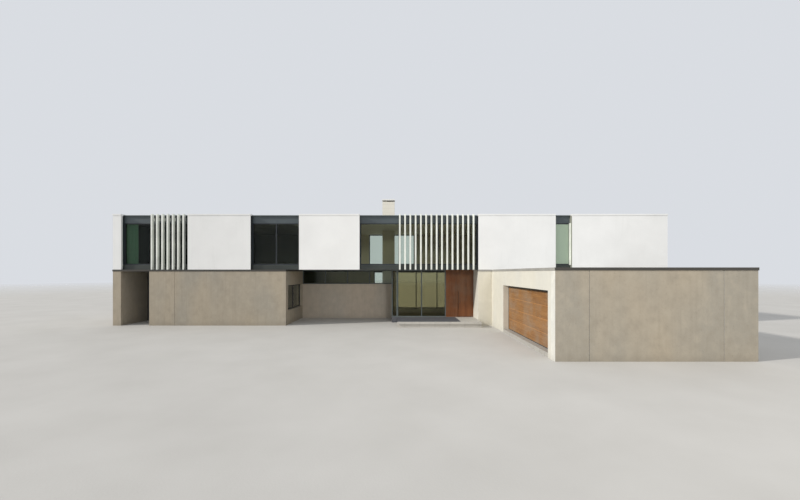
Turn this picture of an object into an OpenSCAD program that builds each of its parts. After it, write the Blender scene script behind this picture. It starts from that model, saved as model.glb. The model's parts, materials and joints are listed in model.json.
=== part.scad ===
/* [Main sizes] */
// Length of the house along its front
house_length = 34670; // [33800:10:35300]
// Depth of the house, from its front wall to its rear wall
house_depth = 8000; // [7400:50:9600]
// Height of the ground storey, up to the underside of the first floor
ground_h = 3500; // [3300:10:4000]
// Height of the upper storey, from its underside to the top of the parapet
upper_h = 3480; // [3200:10:3900]
// Thickness of the ground-floor slabs in the wings and the garage
floor_t = 180; // [150:5:210]
// Height of the hall floor and of the porch landing above the ground
hall_floor_z = 360; // [300:10:400]
// Thickness of the first-floor slab
first_slab_t = 280; // [220:10:290]
// Thickness of the roof slab
roof_t = 310; // [200:10:350]

/* [Walls] */
// Thickness of the outer walls
wall_t = 400; // [390:5:450]
// Thickness of the two end walls of the ground storey
end_wall_t = 500; // [410:10:600]
// Thickness of the low wall at the back of the porch
porch_wall_t = 300; // [260:10:350]
// Height of the metal coping strip on the ground-floor walls
coping_h = 110; // [60:5:160]
// Overhang of that strip past the outer faces
coping_out = 20; // [5:1:40]
// Open joint between neighbouring coping lengths
coping_joint = 3; // [2:1:6]
// Movement joint between neighbouring floor slabs
slab_joint = 10; // [6:1:20]

/* [Front of the upper storey] */
// Narrow rendered panel at the left end
end_panel_w = 510; // [410:10:900]
// Window behind the left group of fins
left_window_w = 4160; // [3400:10:5000]
// Rendered panel right of the left fins
panel_1_w = 3940; // [3000:10:5000]
// Plain window between the first two wide panels
window_1_w = 3020; // [2000:10:3400]
// Rendered panel left of the middle window
panel_2_w = 3790; // [2800:10:4600]
// Middle window, partly behind the right group of fins
window_2_w = 7420; // [6400:10:8400]
// Rendered panel right of the right fins
panel_3_w = 4840; // [3800:10:5600]
// Slit window
slit_window_w = 1020; // [700:10:1400]
// Height of the metal band under each upper window
sill_h = 300; // [295:5:400]
// Height of the metal fascia over each upper window
fascia_h = 440; // [380:10:520]
// Thickness of the capping on the fascia
capping_h = 50; // [30:5:80]
// Fall of the sill band's top, from the frame to the band's front
sill_fall = 12; // [5:1:20]
// Set-back of the upper window frames from the wall face
reveal = 300; // [240:5:305]
// Height of the rendered lip on the parapet
lip_h = 85; // [50:5:120]
// Overhang of that lip
lip_out = 25; // [5:1:50]

/* [Fins] */
// Distance from one fin to the next
fin_spacing = 330; // [250:5:400]
// Width of a fin
fin_w = 95; // [50:5:140]
// Depth of a fin, from the wall face to the metal band behind it
fin_d = 200; // [120:5:230]
// Chamfer on both front edges of a fin
fin_nose = 10; // [4:1:20]
// Number of fins over the left window
left_fin_n = 7; // [4:1:8]
// Number of fins over the middle window
right_fin_n = 15; // [8:1:16]

/* [Rear of the upper storey] */
// First rear window, measured from the left end of the house
rear_window_1_x = 2600; // [1500:10:4500]
// Second rear window, measured from the left end
rear_window_2_x = 9850; // [8000:10:11000]
// Wide rear window behind the chimney, measured from the left end
rear_window_3_x = 15410; // [14600:10:16500]
// Width of that wide rear window
rear_window_3_w = 3750; // [3000:10:4500]
// Fourth rear window, measured from the left end
rear_window_4_x = 24700; // [24400:10:26000]
// Rear slit window, measured from the left end
rear_slit_x = 29200; // [28000:10:30000]

/* [Ground storey] */
// Length of the left wing
left_wing_l = 10810; // [9500:10:11500]
// Width of the alcove at the left end
alcove_w = 1770; // [1200:10:2400]
// Depth of the alcove
alcove_depth = 2500; // [1500:10:3400]
// Length of the recessed porch, from the left wing to the garage
porch_l = 12880; // [12200:10:13600]
// Depth of the porch under the upper storey
porch_depth = 4070; // [3600:10:4600]
// Length of the low wall at the back of the porch
low_wall_l = 6580; // [5600:10:7200]
// Height of that low wall
low_wall_h = 2480; // [2100:10:2800]
// Length of the landing, from its left end to the wall beside the door
landing_l = 5050; // [4600:10:5600]
// Reach of the landing in front of the upper storey's face
landing_out = 1000; // [600:10:1300]
// Thickness of the landing's floating edge
landing_edge_t = 140; // [100:5:180]
// Set-back of the landing's foot under that edge
landing_foot_back = 80; // [40:5:150]
// Return-wall window: distance from the front face
return_window_y = 480; // [450:10:900]
// Return-wall window: distance from the low wall
return_window_end = 80; // [60:10:900]
// Return-wall window: height of its sill above the ground
return_sill_z = 900; // [600:10:1400]
// Return-wall window: height of the glass and frame
return_window_h = 1600; // [900:10:1900]

/* [Joints in the gray walls] */
// Width of a movement joint
wall_joint_w = 14; // [8:1:20]
// Depth of a movement joint
wall_joint_d = 40; // [20:1:60]
// Set-back of the seal inside the joint
wall_joint_back = 10; // [5:1:15]
// Distance of the garage front's two joints from its corners
garage_joint_x = 1270; // [900:10:2000]
// Distance of the left wing's joint from the alcove
wing_joint_x = 1590; // [1000:10:2500]

/* [Entrance] */
// Set-back of the door and the entrance screen from the upper storey's face
entrance_depth = 1600; // [1300:10:1900]
// Width of the narrow light at the left end of the screen
screen_strip_w = 380; // [300:10:500]
// Width of the timber panel beside the front door
side_panel_w = 680; // [400:10:900]
// Width of the door opening, frame included
door_w = 1150; // [1100:10:1400]
// Width of the wall between the door and the garage
pier_w = 850; // [700:10:1000]
// Width of each door post and of the door head
door_post = 50; // [40:1:70]
// Thickness of the door leaf
door_t = 70; // [50:1:85]
// Gap round the door leaf
door_gap = 8; // [8:1:12]
// Gap under the door leaf
door_floor_gap = 12; // [8:1:20]
// Width of the stop that the leaf closes towards
door_stop = 15; // [12:1:25]
// Number of door hinges
hinge_n = 4; // [3:1:5]
// Height of one hinge
hinge_h = 120; // [80:5:160]
// Radius of a hinge barrel
hinge_r = 9; // [7:0.5:9.5]
// Width of one hinge plate
hinge_plate_w = 36; // [24:1:38]
// Length of the pull bar on the door
pull_l = 1200; // [600:10:1800]
// Radius of the pull bar
pull_r = 12; // [10:1:20]
// Height of the pull bar's lower end above the foot of the leaf
pull_rise = 500; // [300:10:800]
// Number of upright boards on the door leaf
door_board_n = 8; // [5:1:10]
// Number of upright boards on the side panel
side_board_n = 5; // [3:1:6]
// Width of a groove between those boards
door_groove_w = 10; // [5:1:16]
// Depth of a groove between those boards
door_groove_d = 6; // [3:1:10]

/* [Garage] */
// Width of the garage
garage_w = 7540; // [6600:10:7800]
// Projection of the garage in front of the upper storey
garage_l = 9600; // [9000:10:10400]
// Wall between the garage door and the front corner
garage_corner_l = 690; // [500:10:1200]
// Width of the garage door opening
garage_door_w = 6310; // [5000:10:6800]
// Height of the garage door opening above the floor
garage_door_h = 2430; // [2200:10:2650]
// Set-back of the garage door from the wall face
garage_reveal = 305; // [200:5:320]
// Thickness of the garage door sections
section_t = 45; // [35:1:60]
// Number of door sections
section_n = 4; // [3:1:6]
// Number of boards on each section
board_n = 4; // [2:1:6]
// Width of a groove between boards
groove_w = 14; // [6:1:20]
// Depth of a groove between boards
groove_d = 8; // [4:1:15]
// Bevel on the outer edges of a section
section_bevel = 8; // [3:1:10]
// Height of the tongue that each section holds up into the next
tongue_h = 9; // [5:1:14]
// Height of the dark head above the door sections
garage_head_h = 110; // [60:5:160]
// Thickness of the garage roof slab
garage_roof_t = 290; // [200:10:350]

/* [Rear of the ground storey] */
// Garden glazing of the left wing, measured from the left end
rear_glazing_1_x = 3300; // [2500:10:4000]
// Width of that glazing
rear_glazing_1_w = 5000; // [3600:10:6000]
// Garden glazing of the hall, measured from the left end
rear_glazing_2_x = 15800; // [15000:10:16600]
// Width of that glazing
rear_glazing_2_w = 7000; // [5600:10:8000]
// Window of the right wing, measured from the left end
rear_glazing_3_x = 26300; // [25000:10:27400]
// Width of that window
rear_glazing_3_w = 3000; // [2000:10:3600]

/* [Window frames] */
// Face width of a frame bar
frame_w = 60; // [40:1:90]
// Depth of a frame, front to back
frame_d = 80; // [50:1:85]
// Thickness of the glass units
glass_t = 24; // [16:1:40]
// Thickness of the metal lining in the reveals of the slit windows
lining_t = 12; // [8:1:20]

/* [Chimney] */
// Distance of the chimney from the left end of the house
chimney_x = 16645; // [16300:5:17600]
// Distance of the chimney from the front face
chimney_y = 4600; // [4480:10:5400]
// Width of the chimney
chimney_w = 900; // [600:10:1200]
// Depth of the chimney
chimney_d = 700; // [500:10:1000]
// Height of the chimney top above the parapet
chimney_above = 1820; // [1200:10:2400]
// Height of the open slot under the cap
chimney_slot = 110; // [80:5:200]
// Thickness of the cap
chimney_cap_t = 90; // [60:5:150]
// Side of the corner posts that carry the cap
chimney_post = 110; // [70:5:160]
// Set-back of those posts from the faces of the shaft
chimney_post_back = 60; // [20:5:80]
// Overhang of the cap
chimney_cap_out = 25; // [5:1:60]
// Outer radius of the flue pot in the slot
flue_r = 120; // [80:5:140]
// Wall thickness of the flue pot
flue_t = 20; // [10:1:30]

/* [Curtain] */
// Width of the drawn-back curtain inside the left window
curtain_w = 740; // [400:10:1400]
// Depth of its folds
curtain_d = 90; // [60:5:140]
// Gap between the inner wall face and the curtain
curtain_back = 60; // [40:5:120]
// Gap between the curtain and the floor
curtain_foot = 15; // [5:5:60]

/* [Hidden] */

$fn = 32;

// Colours
render_white = [0.93, 0.93, 0.91];
stone_gray = [0.60, 0.57, 0.52];
shade_gray = [0.36, 0.35, 0.36];
cream = [0.88, 0.86, 0.81];
slate = [0.20, 0.23, 0.27];
glass_tint = [0.35, 0.45, 0.42, 0.45];
timber_door = [0.38, 0.21, 0.14];
timber_garage = [0.62, 0.40, 0.23];
paving = [0.72, 0.71, 0.68];
chimney_beige = [0.80, 0.76, 0.69];
cloth = [0.66, 0.68, 0.62];

// Front bays from left to right: panels at even places, windows at odd places
front_bays = [
  end_panel_w, left_window_w, panel_1_w, window_1_w, panel_2_w, window_2_w, panel_3_w, slit_window_w
];
function sum_to(list, n) = n <= 0 ? 0 : list[n - 1] + sum_to(list, n - 1);

// Places along the front, with the middle of the house at zero
x_left = -house_length / 2;
x_right = house_length / 2;
x_alcove_l = x_left + end_wall_t;
x_alcove_r = x_alcove_l + alcove_w;
x_return = x_left + left_wing_l;
x_screen = x_return + low_wall_l;
x_garage_l = x_return + porch_l;
x_garage_r = x_garage_l + garage_w;
x_door_r = x_garage_l - pier_w;
x_landing_l = x_door_r - landing_l;
x_door_l = x_door_r - door_w;
x_side_panel = x_door_l - side_panel_w;

// Places from front to back, with the middle of the whole footprint at zero
y_garage = (coping_out - lip_out - garage_l - house_depth) / 2;
y_front = y_garage + garage_l;
y_rear = y_front + house_depth;
y_porch = y_front + porch_depth;
y_porch_in = y_porch + porch_wall_t;
y_entrance = y_front + entrance_depth;
y_landing_in = y_entrance - 60;
y_pier_in = y_entrance + 200;
y_alcove = y_front + alcove_depth;
y_in = y_front + wall_t;
y_rear_in = y_rear - wall_t;
y_door_1 = y_garage + garage_corner_l;
y_door_2 = y_door_1 + garage_door_w;

// Heights
z_wall = ground_h - coping_h;
z_first = ground_h + first_slab_t;
z_top = ground_h + upper_h;
z_lip = z_top - lip_h;
z_sill = ground_h + sill_h;
z_fascia_top = z_top - capping_h;
z_capping = z_fascia_top - capping_h;
z_head = z_capping - fascia_h;
z_roof = z_head + roof_t;
z_garage_head = floor_t + garage_door_h;

// Windows as [left edge, right edge, number of panes], the lower ones also with their floor's height
front_windows = [
  for (i = [0 : 3]) [
    x_left + sum_to(front_bays, 2 * i + 1),
    x_left + sum_to(front_bays, 2 * i + 2),
    [2, 2, 3, 1][i]
  ]
];
rear_windows = [
  [x_left + rear_window_1_x, x_left + rear_window_1_x + window_1_w, 2],
  [x_left + rear_window_2_x, x_left + rear_window_2_x + window_1_w, 2],
  [x_left + rear_window_3_x, x_left + rear_window_3_x + rear_window_3_w, 3],
  [x_left + rear_window_4_x, x_left + rear_window_4_x + window_1_w, 2],
  [x_left + rear_slit_x, x_left + rear_slit_x + slit_window_w, 1]
];
rear_glazing = [
  [x_left + rear_glazing_1_x, x_left + rear_glazing_1_x + rear_glazing_1_w, 3, floor_t],
  [x_left + rear_glazing_2_x, x_left + rear_glazing_2_x + rear_glazing_2_w, 4, hall_floor_z],
  [x_left + rear_glazing_3_x, x_left + rear_glazing_3_x + rear_glazing_3_w, 2, floor_t]
];

// Window frames inside the wall depth
ground_frame_back = (wall_t - frame_d) / 2;
clerestory_back = 100;

// Door leaf and its hinge axis
leaf_l = x_door_l + door_post + door_gap;
leaf_r = x_door_r - door_post - door_gap;
leaf_out = y_entrance;
leaf_in = leaf_out + door_t;
leaf_bottom = hall_floor_z + door_floor_gap;
leaf_top = ground_h - door_post - door_gap;
stop_clear = 6;
stop_d = 34;
axis_x = leaf_r + door_gap / 2;
axis_y = leaf_in + hinge_r + 1;
knuckle_gap = 0.3;
plate_t = 3;
plate_clear = 7;
hinge_margin = 250;
pull_stand = 60;
pull_inset = 85;
pull_fix_r = 7;

// Garage door sections; the tongue fills part of the groove above it
section_gap = 4;
section_side_gap = 5;
tongue_w = 14;
tongue_taper = 3;
tongue_clear = 2;
track_w = 60;
door_opening_top = z_garage_head - garage_head_h;
section_h = (door_opening_top - floor_t - section_gap) / section_n - section_gap;

// A straight block between two places on each axis
module block(x, y, z) {
  translate([x[0], y[0], z[0]])
    cube([x[1] - x[0], y[1] - y[0], z[1] - z[0]]);
}

// An outline given as places on Y and Z, carried along X
module along_x(x) {
  translate([x[0], 0, 0])
    rotate([90, 0, 90])
      linear_extrude(height = x[1] - x[0])
        children();
}

// An outline given as places on Z and X, carried along Y
module along_y(y) {
  translate([0, y[0], 0])
    rotate([0, -90, -90])
      linear_extrude(height = y[1] - y[0])
        children();
}

// Corners of a boarded face along the first axis, with a V groove between neighbouring boards
function board_edge(length, count, width, depth) = [
  for (i = [1 : count - 1], k = [-1 : 1])
    [i * length / count + k * width / 2, k == 0 ? depth : 0]
];

// Upright boards, seen from above
module boarding(length, thickness, count) {
  polygon(concat(
    [[0, 0]],
    board_edge(length, count, door_groove_w, door_groove_d),
    [[length, 0], [length, thickness], [0, thickness]]
  ));
}

// The same piece turned to face the garden
module at_rear() {
  translate([0, y_front + y_rear, 0])
    mirror([0, 1, 0])
      children();
}

// A ring frame with equal panes; x and z are its outer limits
module frame_ring(x, y, z, panes) {
  pitch = (x[1] - x[0] - frame_w) / panes;
  difference() {
    block(x, y, z);
    for (i = [0 : panes - 1])
      block(
        [x[0] + frame_w + i * pitch, x[0] + (i + 1) * pitch],
        [y[0] - 1, y[1] + 1],
        [z[0] + frame_w, z[1] - frame_w]
      );
  }
}

// The panes that fill the frame above
module frame_panes(x, y, z, panes) {
  pitch = (x[1] - x[0] - frame_w) / panes;
  middle = (y[0] + y[1]) / 2;
  for (i = [0 : panes - 1])
    block(
      [x[0] + frame_w + i * pitch, x[0] + (i + 1) * pitch],
      [middle - glass_t / 2, middle + glass_t / 2],
      [z[0] + frame_w, z[1] - frame_w]
    );
}

// Rendered wall panels between the windows of one long side
module wall_panels(windows) {
  starts = concat([x_left], [for (w = windows) w[1]]);
  ends = concat([for (w = windows) w[0]], [x_right]);
  for (i = [0 : len(starts) - 1])
    block([starts[i], ends[i]], [y_front, y_in], [ground_h, z_lip]);
}

// Parapet lips on those panels
module wall_lips(windows) {
  starts = concat([x_left - lip_out], [for (w = windows) w[1]]);
  ends = concat([for (w = windows) w[0]], [x_right + lip_out]);
  for (i = [0 : len(starts) - 1])
    block([starts[i], ends[i]], [y_front - lip_out, y_in], [z_lip, z_top]);
}

// Metal bands under the windows of one long side; their tops shed water to the front
module sill_bands(windows) {
  for (w = windows)
    along_x([w[0], w[1]])
      polygon([
        [y_front + fin_d, ground_h],
        [y_in, ground_h],
        [y_in, z_sill],
        [y_front + reveal, z_sill],
        [y_front + fin_d, z_sill - sill_fall]
      ]);
}

// Metal fascias over the windows of one long side
module fascias(windows) {
  for (w = windows)
    block([w[0], w[1]], [y_front + reveal, y_in], [z_head, z_capping]);
}

// Drip groove under a capping, and the fall of its top towards the roof
drip_back = 20;
drip_w = 10;
drip_d = 8;
capping_fall = 12;

// Cappings that project over those fascias
module cappings(windows) {
  front = y_front + fin_d;
  for (w = windows)
    along_x([w[0], w[1]])
      polygon([
        [front, z_capping],
        [front + drip_back, z_capping],
        [front + drip_back, z_capping + drip_d],
        [front + drip_back + drip_w, z_capping + drip_d],
        [front + drip_back + drip_w, z_capping],
        [y_in, z_capping],
        [y_in, z_fascia_top - capping_fall],
        [front, z_fascia_top]
      ]);
}

// A row of upright fins with chamfered noses, counted leftwards from a window's right edge
module fin_row(edge, count) {
  for (i = [1 : count])
    translate([edge - i * fin_spacing, y_front, ground_h])
      linear_extrude(height = z_top - ground_h)
        polygon([
          [fin_nose, 0],
          [fin_w - fin_nose, 0],
          [fin_w, fin_nose],
          [fin_w, fin_d],
          [0, fin_d],
          [0, fin_nose]
        ]);
}

module chimney_shaft(z, extra) {
  block(
    [x_left + chimney_x - extra, x_left + chimney_x + chimney_w + extra],
    [y_front + chimney_y - extra, y_front + chimney_y + chimney_d + extra],
    z
  );
}

// A movement joint cut into a wall's front face, and the seal that fills its depth
module wall_joint(x, y) {
  block([x - wall_joint_w / 2, x + wall_joint_w / 2], [y - 1, y + wall_joint_d], [-1, z_wall + 1]);
}

module wall_seal(x, y) {
  block(
    [x - wall_joint_w / 2, x + wall_joint_w / 2],
    [y + wall_joint_back, y + wall_joint_d],
    [0, z_wall]
  );
}

garage_joints = [x_garage_l + garage_joint_x, x_garage_r - garage_joint_x];
wing_joint = x_alcove_r + wing_joint_x;

module ground_floor_slabs() {
  color(paving) {
    z = [0, floor_t];
    block([x_alcove_r + wall_t, x_return - wall_t], [y_in, y_rear_in], z);
    block([x_alcove_l, x_alcove_r + wall_t - slab_joint], [y_alcove + wall_t, y_rear_in], z);
    hall_floor();
    block([x_garage_l + wall_t, x_garage_r - wall_t], [y_garage + wall_t, y_in - slab_joint], z);
    block([x_garage_l + wall_t, x_right - end_wall_t], [y_in, y_rear_in], z);
    block([x_garage_l, x_garage_l + wall_t - slab_joint], [y_door_1, y_door_2], z);
    for (g = rear_glazing)
      block([g[0], g[1]], [y_rear_in + slab_joint, y_rear], [0, g[3]]);
  }
}

// The raised hall floor, which reaches forward under the screen and the door
module hall_floor() {
  z = [0, hall_floor_z];
  block([x_return - wall_t + slab_joint, x_garage_l + wall_t - slab_joint], [y_porch_in, y_rear_in], z);
  block([x_screen, x_door_r], [y_landing_in, y_porch_in], z);
  block([x_door_r - 1, x_garage_l], [y_pier_in, y_porch_in], z);
  block([x_door_r + wall_t, x_garage_l], [y_in, y_pier_in + 1], z);
}

// The landing's edge floats in front of its foot and leaves a shadow gap
module porch_landing() {
  back = landing_foot_back;
  last = y_landing_in - slab_joint;
  color(paving) {
    block([x_landing_l + back, x_door_r], [y_front - landing_out + back, last], [0, hall_floor_z]);
    block(
      [x_landing_l, x_door_r],
      [y_front - landing_out, last],
      [hall_floor_z - landing_edge_t, hall_floor_z]
    );
  }
}

module left_end_wall() {
  color(stone_gray)
    block([x_left, x_alcove_l], [y_front, y_rear], [0, z_wall]);
}

module alcove_back_wall() {
  color(shade_gray)
    block([x_alcove_l, x_alcove_r + wall_t], [y_alcove, y_alcove + wall_t], [0, z_wall]);
}

module alcove_side_wall() {
  color(stone_gray)
    block([x_alcove_r, x_alcove_r + wall_t], [y_in, y_alcove], [0, z_wall]);
}

module left_front_wall() {
  color(stone_gray)
    difference() {
      block([x_alcove_r, x_return], [y_front, y_in], [0, z_wall]);
      wall_joint(wing_joint, y_front);
    }
}

return_window = [y_front + return_window_y, y_porch - return_window_end];
return_window_z = [return_sill_z, return_sill_z + return_window_h];

module left_return_wall() {
  color(stone_gray)
    difference() {
      block([x_return - wall_t, x_return], [y_in, y_porch_in], [0, z_wall]);
      block([x_return - wall_t - 1, x_return + 1], return_window, return_window_z);
    }
}

module porch_low_wall() {
  color(shade_gray)
    block([x_return, x_screen], [y_porch, y_porch_in], [0, low_wall_h]);
}

// The wall right of the door: a short front beside the garage and the side of the porch
module entrance_pier() {
  color(cream) {
    block([x_door_r, x_garage_l], [y_front, y_in], [0, z_wall]);
    block([x_door_r, x_door_r + wall_t], [y_in - 1, y_pier_in], [0, z_wall]);
    block([x_door_r, x_door_r + wall_t], [y_in + coping_joint, y_pier_in], [z_wall - 1, ground_h]);
  }
}

module right_front_wall() {
  color(stone_gray)
    block([x_garage_r, x_right - end_wall_t], [y_front, y_in], [0, z_wall]);
}

module right_end_wall() {
  color(stone_gray)
    block([x_right - end_wall_t, x_right], [y_front, y_rear], [0, z_wall]);
}

module rear_ground_walls() {
  starts = concat([x_alcove_l], [for (g = rear_glazing) g[1]]);
  ends = concat([for (g = rear_glazing) g[0]], [x_right - end_wall_t]);
  color(stone_gray)
    for (i = [0 : len(starts) - 1])
      block([starts[i], ends[i]], [y_rear_in, y_rear], [0, z_wall]);
}

module garage_side_wall() {
  color(cream) {
    block([x_garage_l, x_garage_l + wall_t], [y_garage + wall_t, y_door_1], [0, z_wall]);
    block([x_garage_l, x_garage_l + wall_t], [y_door_2, y_porch_in], [0, z_wall]);
  }
}

module garage_lintel() {
  color(cream)
    block([x_garage_l, x_garage_l + wall_t], [y_door_1, y_door_2], [z_garage_head, z_wall]);
}

module garage_front_wall() {
  color(stone_gray)
    difference() {
      block([x_garage_l, x_garage_r], [y_garage, y_garage + wall_t], [0, z_wall]);
      for (x = garage_joints)
        wall_joint(x, y_garage);
    }
}

module movement_seals() {
  color(shade_gray) {
    wall_seal(wing_joint, y_front);
    for (x = garage_joints)
      wall_seal(x, y_garage);
  }
}

module garage_right_wall() {
  color(stone_gray)
    block([x_garage_r - wall_t, x_garage_r], [y_garage + wall_t, y_in], [0, z_wall]);
}

module garage_roof() {
  color(shade_gray)
    block(
      [x_garage_l + wall_t, x_garage_r - wall_t],
      [y_garage + wall_t, y_in],
      [z_wall - garage_roof_t, z_wall]
    );
}

// The tapered outline of a tongue, or of the groove round it, over the edge at height z
function tongue(z, width) = [
  [z, (section_t - width) / 2],
  [z + tongue_h, (section_t - width) / 2 + tongue_taper],
  [z + tongue_h, (section_t + width) / 2 - tongue_taper],
  [z, (section_t + width) / 2]
];

function turned(points) = [for (i = [len(points) - 1 : -1 : 0]) points[i]];

// One section: boards with bevelled ends, a groove in its foot and a tongue on its head
module garage_section(z, is_first, is_last) {
  translate([z, x_garage_l + garage_reveal])
    polygon(concat(
      [[0, section_bevel], [section_bevel, 0]],
      board_edge(section_h, board_n, groove_w, groove_d),
      [[section_h - section_bevel, 0], [section_h, section_bevel]],
      is_last ? [] : tongue(section_h, tongue_w),
      [[section_h, section_t], [0, section_t]],
      is_first ? [] : turned(tongue(0, tongue_w + 2 * tongue_clear))
    ));
}

// The boards butt in the middle of the door, where an upright V groove covers their ends
module garage_door() {
  face = x_garage_l + garage_reveal;
  color(timber_garage)
    difference() {
      for (i = [0 : section_n - 1])
        along_y([y_door_1 + section_side_gap, y_door_2 - section_side_gap])
          garage_section(
            floor_t + section_gap + i * (section_h + section_gap),
            i == 0,
            i == section_n - 1
          );
      translate([face, (y_door_1 + y_door_2) / 2, 0])
        linear_extrude(height = z_garage_head)
          polygon([
            [-1, -groove_w / 2],
            [0, -groove_w / 2],
            [groove_d, 0],
            [0, groove_w / 2],
            [-1, groove_w / 2]
          ]);
    }
}

module garage_door_frame() {
  back = x_garage_l + garage_reveal + section_t;
  color(slate) {
    block(
      [x_garage_l + garage_reveal, x_garage_l + wall_t],
      [y_door_1, y_door_2],
      [door_opening_top, z_garage_head]
    );
    for (y = [y_door_1, y_door_2 - track_w])
      block([back, x_garage_l + wall_t], [y, y + track_w], [floor_t, door_opening_top]);
  }
}

module wall_coping() {
  z = [z_wall, ground_h];
  out = coping_out;
  gap = coping_joint;
  color(slate) {
    block([x_left - out, x_alcove_l], [y_front - out, y_rear + out], z);
    block([x_alcove_l + gap, x_return + out], [y_front - out, y_in], z);
    block([x_return - wall_t, x_return], [y_in + gap, y_porch_in], z);
    block([x_alcove_r, x_alcove_r + wall_t], [y_in + gap, y_alcove + wall_t], z);
    block([x_alcove_l + gap, x_alcove_r - gap], [y_alcove, y_alcove + wall_t], z);
    translate([0, 0, z_wall])
      linear_extrude(coping_h)
        polygon([
          [x_garage_l - out + gap, y_garage - out],
          [x_garage_r - wall_t - gap, y_garage - out],
          [x_garage_r - wall_t - gap, y_garage + wall_t],
          [x_garage_l + wall_t + gap, y_garage + wall_t]
        ]);
    block([x_garage_r - wall_t, x_garage_r + out], [y_garage - out, y_in], z);
    block([x_garage_r + out + gap, x_right - end_wall_t - gap], [y_front - out, y_in], z);
    block([x_right - end_wall_t, x_right + out], [y_front - out, y_rear + out], z);
    block([x_alcove_l + gap, x_right - end_wall_t - gap], [y_rear_in, y_rear + out], z);
  }
}

// The side coping meets the front one in a mitre
module garage_side_coping() {
  z = [z_wall, ground_h];
  color(stone_gray) {
    translate([0, 0, z_wall])
      linear_extrude(coping_h)
        polygon([
          [x_garage_l - coping_out, y_garage - coping_out],
          [x_garage_l + wall_t, y_garage + wall_t],
          [x_garage_l + wall_t, y_front],
          [x_garage_l - coping_out, y_front]
        ]);
    block([x_door_r, x_garage_l + wall_t], [y_front - coping_out, y_in], z);
    block([x_garage_l, x_garage_l + wall_t], [y_in + coping_joint, y_porch_in], z);
  }
}

// Turns a frame drawn along X to stand along Y, with its front at x
module turned_at(x) {
  translate([x, 0, 0])
    rotate([0, 0, 90])
      children();
}

module ground_window_frames() {
  depth = [ground_frame_back, ground_frame_back + frame_d];
  color(slate) {
    turned_at(x_return) frame_ring(return_window, depth, return_window_z, 2);
    at_rear()
      for (g = rear_glazing)
        frame_ring([g[0], g[1]], [y_front + depth[0], y_front + depth[1]], [g[3], z_wall], g[2]);
  }
}

module ground_window_glass() {
  depth = [ground_frame_back, ground_frame_back + frame_d];
  color(glass_tint) {
    turned_at(x_return) frame_panes(return_window, depth, return_window_z, 2);
    at_rear()
      for (g = rear_glazing)
        frame_panes([g[0], g[1]], [y_front + depth[0], y_front + depth[1]], [g[3], z_wall], g[2]);
  }
}

clerestory_y = [y_porch + clerestory_back, y_porch + clerestory_back + frame_d];

module clerestory_frame() {
  color(slate)
    frame_ring([x_return, x_screen], clerestory_y, [low_wall_h, ground_h], 4);
}

module clerestory_glass() {
  color(glass_tint)
    frame_panes([x_return, x_screen], clerestory_y, [low_wall_h, ground_h], 4);
}

// A narrow light and two wide panes at the front, and a side that runs back to the low wall
screen_y = [y_entrance, y_entrance + frame_d];
screen_z = [hall_floor_z, ground_h];
screen_strip = [x_screen, x_screen + screen_strip_w];
screen_front = [x_screen + screen_strip_w, x_side_panel];
screen_side = [y_entrance + frame_d, y_porch_in];

module entrance_screen_frame() {
  color(slate) {
    frame_ring(screen_strip, screen_y, screen_z, 1);
    frame_ring(screen_front, screen_y, screen_z, 2);
    turned_at(x_screen + frame_d) frame_ring(screen_side, [0, frame_d], screen_z, 2);
  }
}

module entrance_screen_glass() {
  color(glass_tint) {
    frame_panes(screen_strip, screen_y, screen_z, 1);
    frame_panes(screen_front, screen_y, screen_z, 2);
    turned_at(x_screen + frame_d) frame_panes(screen_side, [0, frame_d], screen_z, 2);
  }
}

module door_side_panel() {
  color(timber_door)
    translate([x_side_panel, leaf_out, hall_floor_z])
      linear_extrude(height = ground_h - hall_floor_z)
        boarding(side_panel_w, door_t, side_board_n);
}

// Posts and head, with a stop that covers the gap on the porch side
module door_frame() {
  stop_y = [leaf_out - stop_clear - stop_d, leaf_out - stop_clear];
  depth = [stop_y[0], leaf_in];
  color(timber_door)
    difference() {
      block([x_door_l, x_door_r], depth, [hall_floor_z, ground_h]);
      block(
        [x_door_l + door_post, x_door_r - door_post],
        [stop_y[1], leaf_in + 1],
        [hall_floor_z - 1, ground_h - door_post]
      );
      block(
        [x_door_l + door_post + door_stop, x_door_r - door_post - door_stop],
        [stop_y[0] - 1, stop_y[1] + 1],
        [hall_floor_z - 1, ground_h - door_post - door_stop]
      );
    }
}

// Middle height of each hinge
hinge_z = [
  for (i = [0 : hinge_n - 1])
    leaf_bottom + hinge_margin + i * (leaf_top - leaf_bottom - 2 * hinge_margin) / (hinge_n - 1)
];
knuckle_h = (hinge_h - 2 * knuckle_gap) / 3;

// A barrel knuckle with a tab that joins it to its plate, reaching in X towards side
module knuckle(z, height, side) {
  translate([axis_x, axis_y, z])
    cylinder(r = hinge_r, h = height);
  reach = [axis_x, axis_x + side * (plate_clear + 1)];
  block([min(reach), max(reach)], [leaf_in, leaf_in + plate_t], [z, z + height]);
}

module door_hinges() {
  color(slate)
    for (z = hinge_z) {
      block(
        [axis_x + plate_clear, axis_x + plate_clear + hinge_plate_w],
        [leaf_in, leaf_in + plate_t],
        [z - hinge_h / 2, z + hinge_h / 2]
      );
      knuckle(z - hinge_h / 2, knuckle_h, 1);
      knuckle(z + hinge_h / 2 - knuckle_h, knuckle_h, 1);
    }
}

module front_door() {
  color(timber_door)
    translate([leaf_l, leaf_out, leaf_bottom])
      linear_extrude(height = leaf_top - leaf_bottom)
        boarding(leaf_r - leaf_l, door_t, door_board_n);
}

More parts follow.
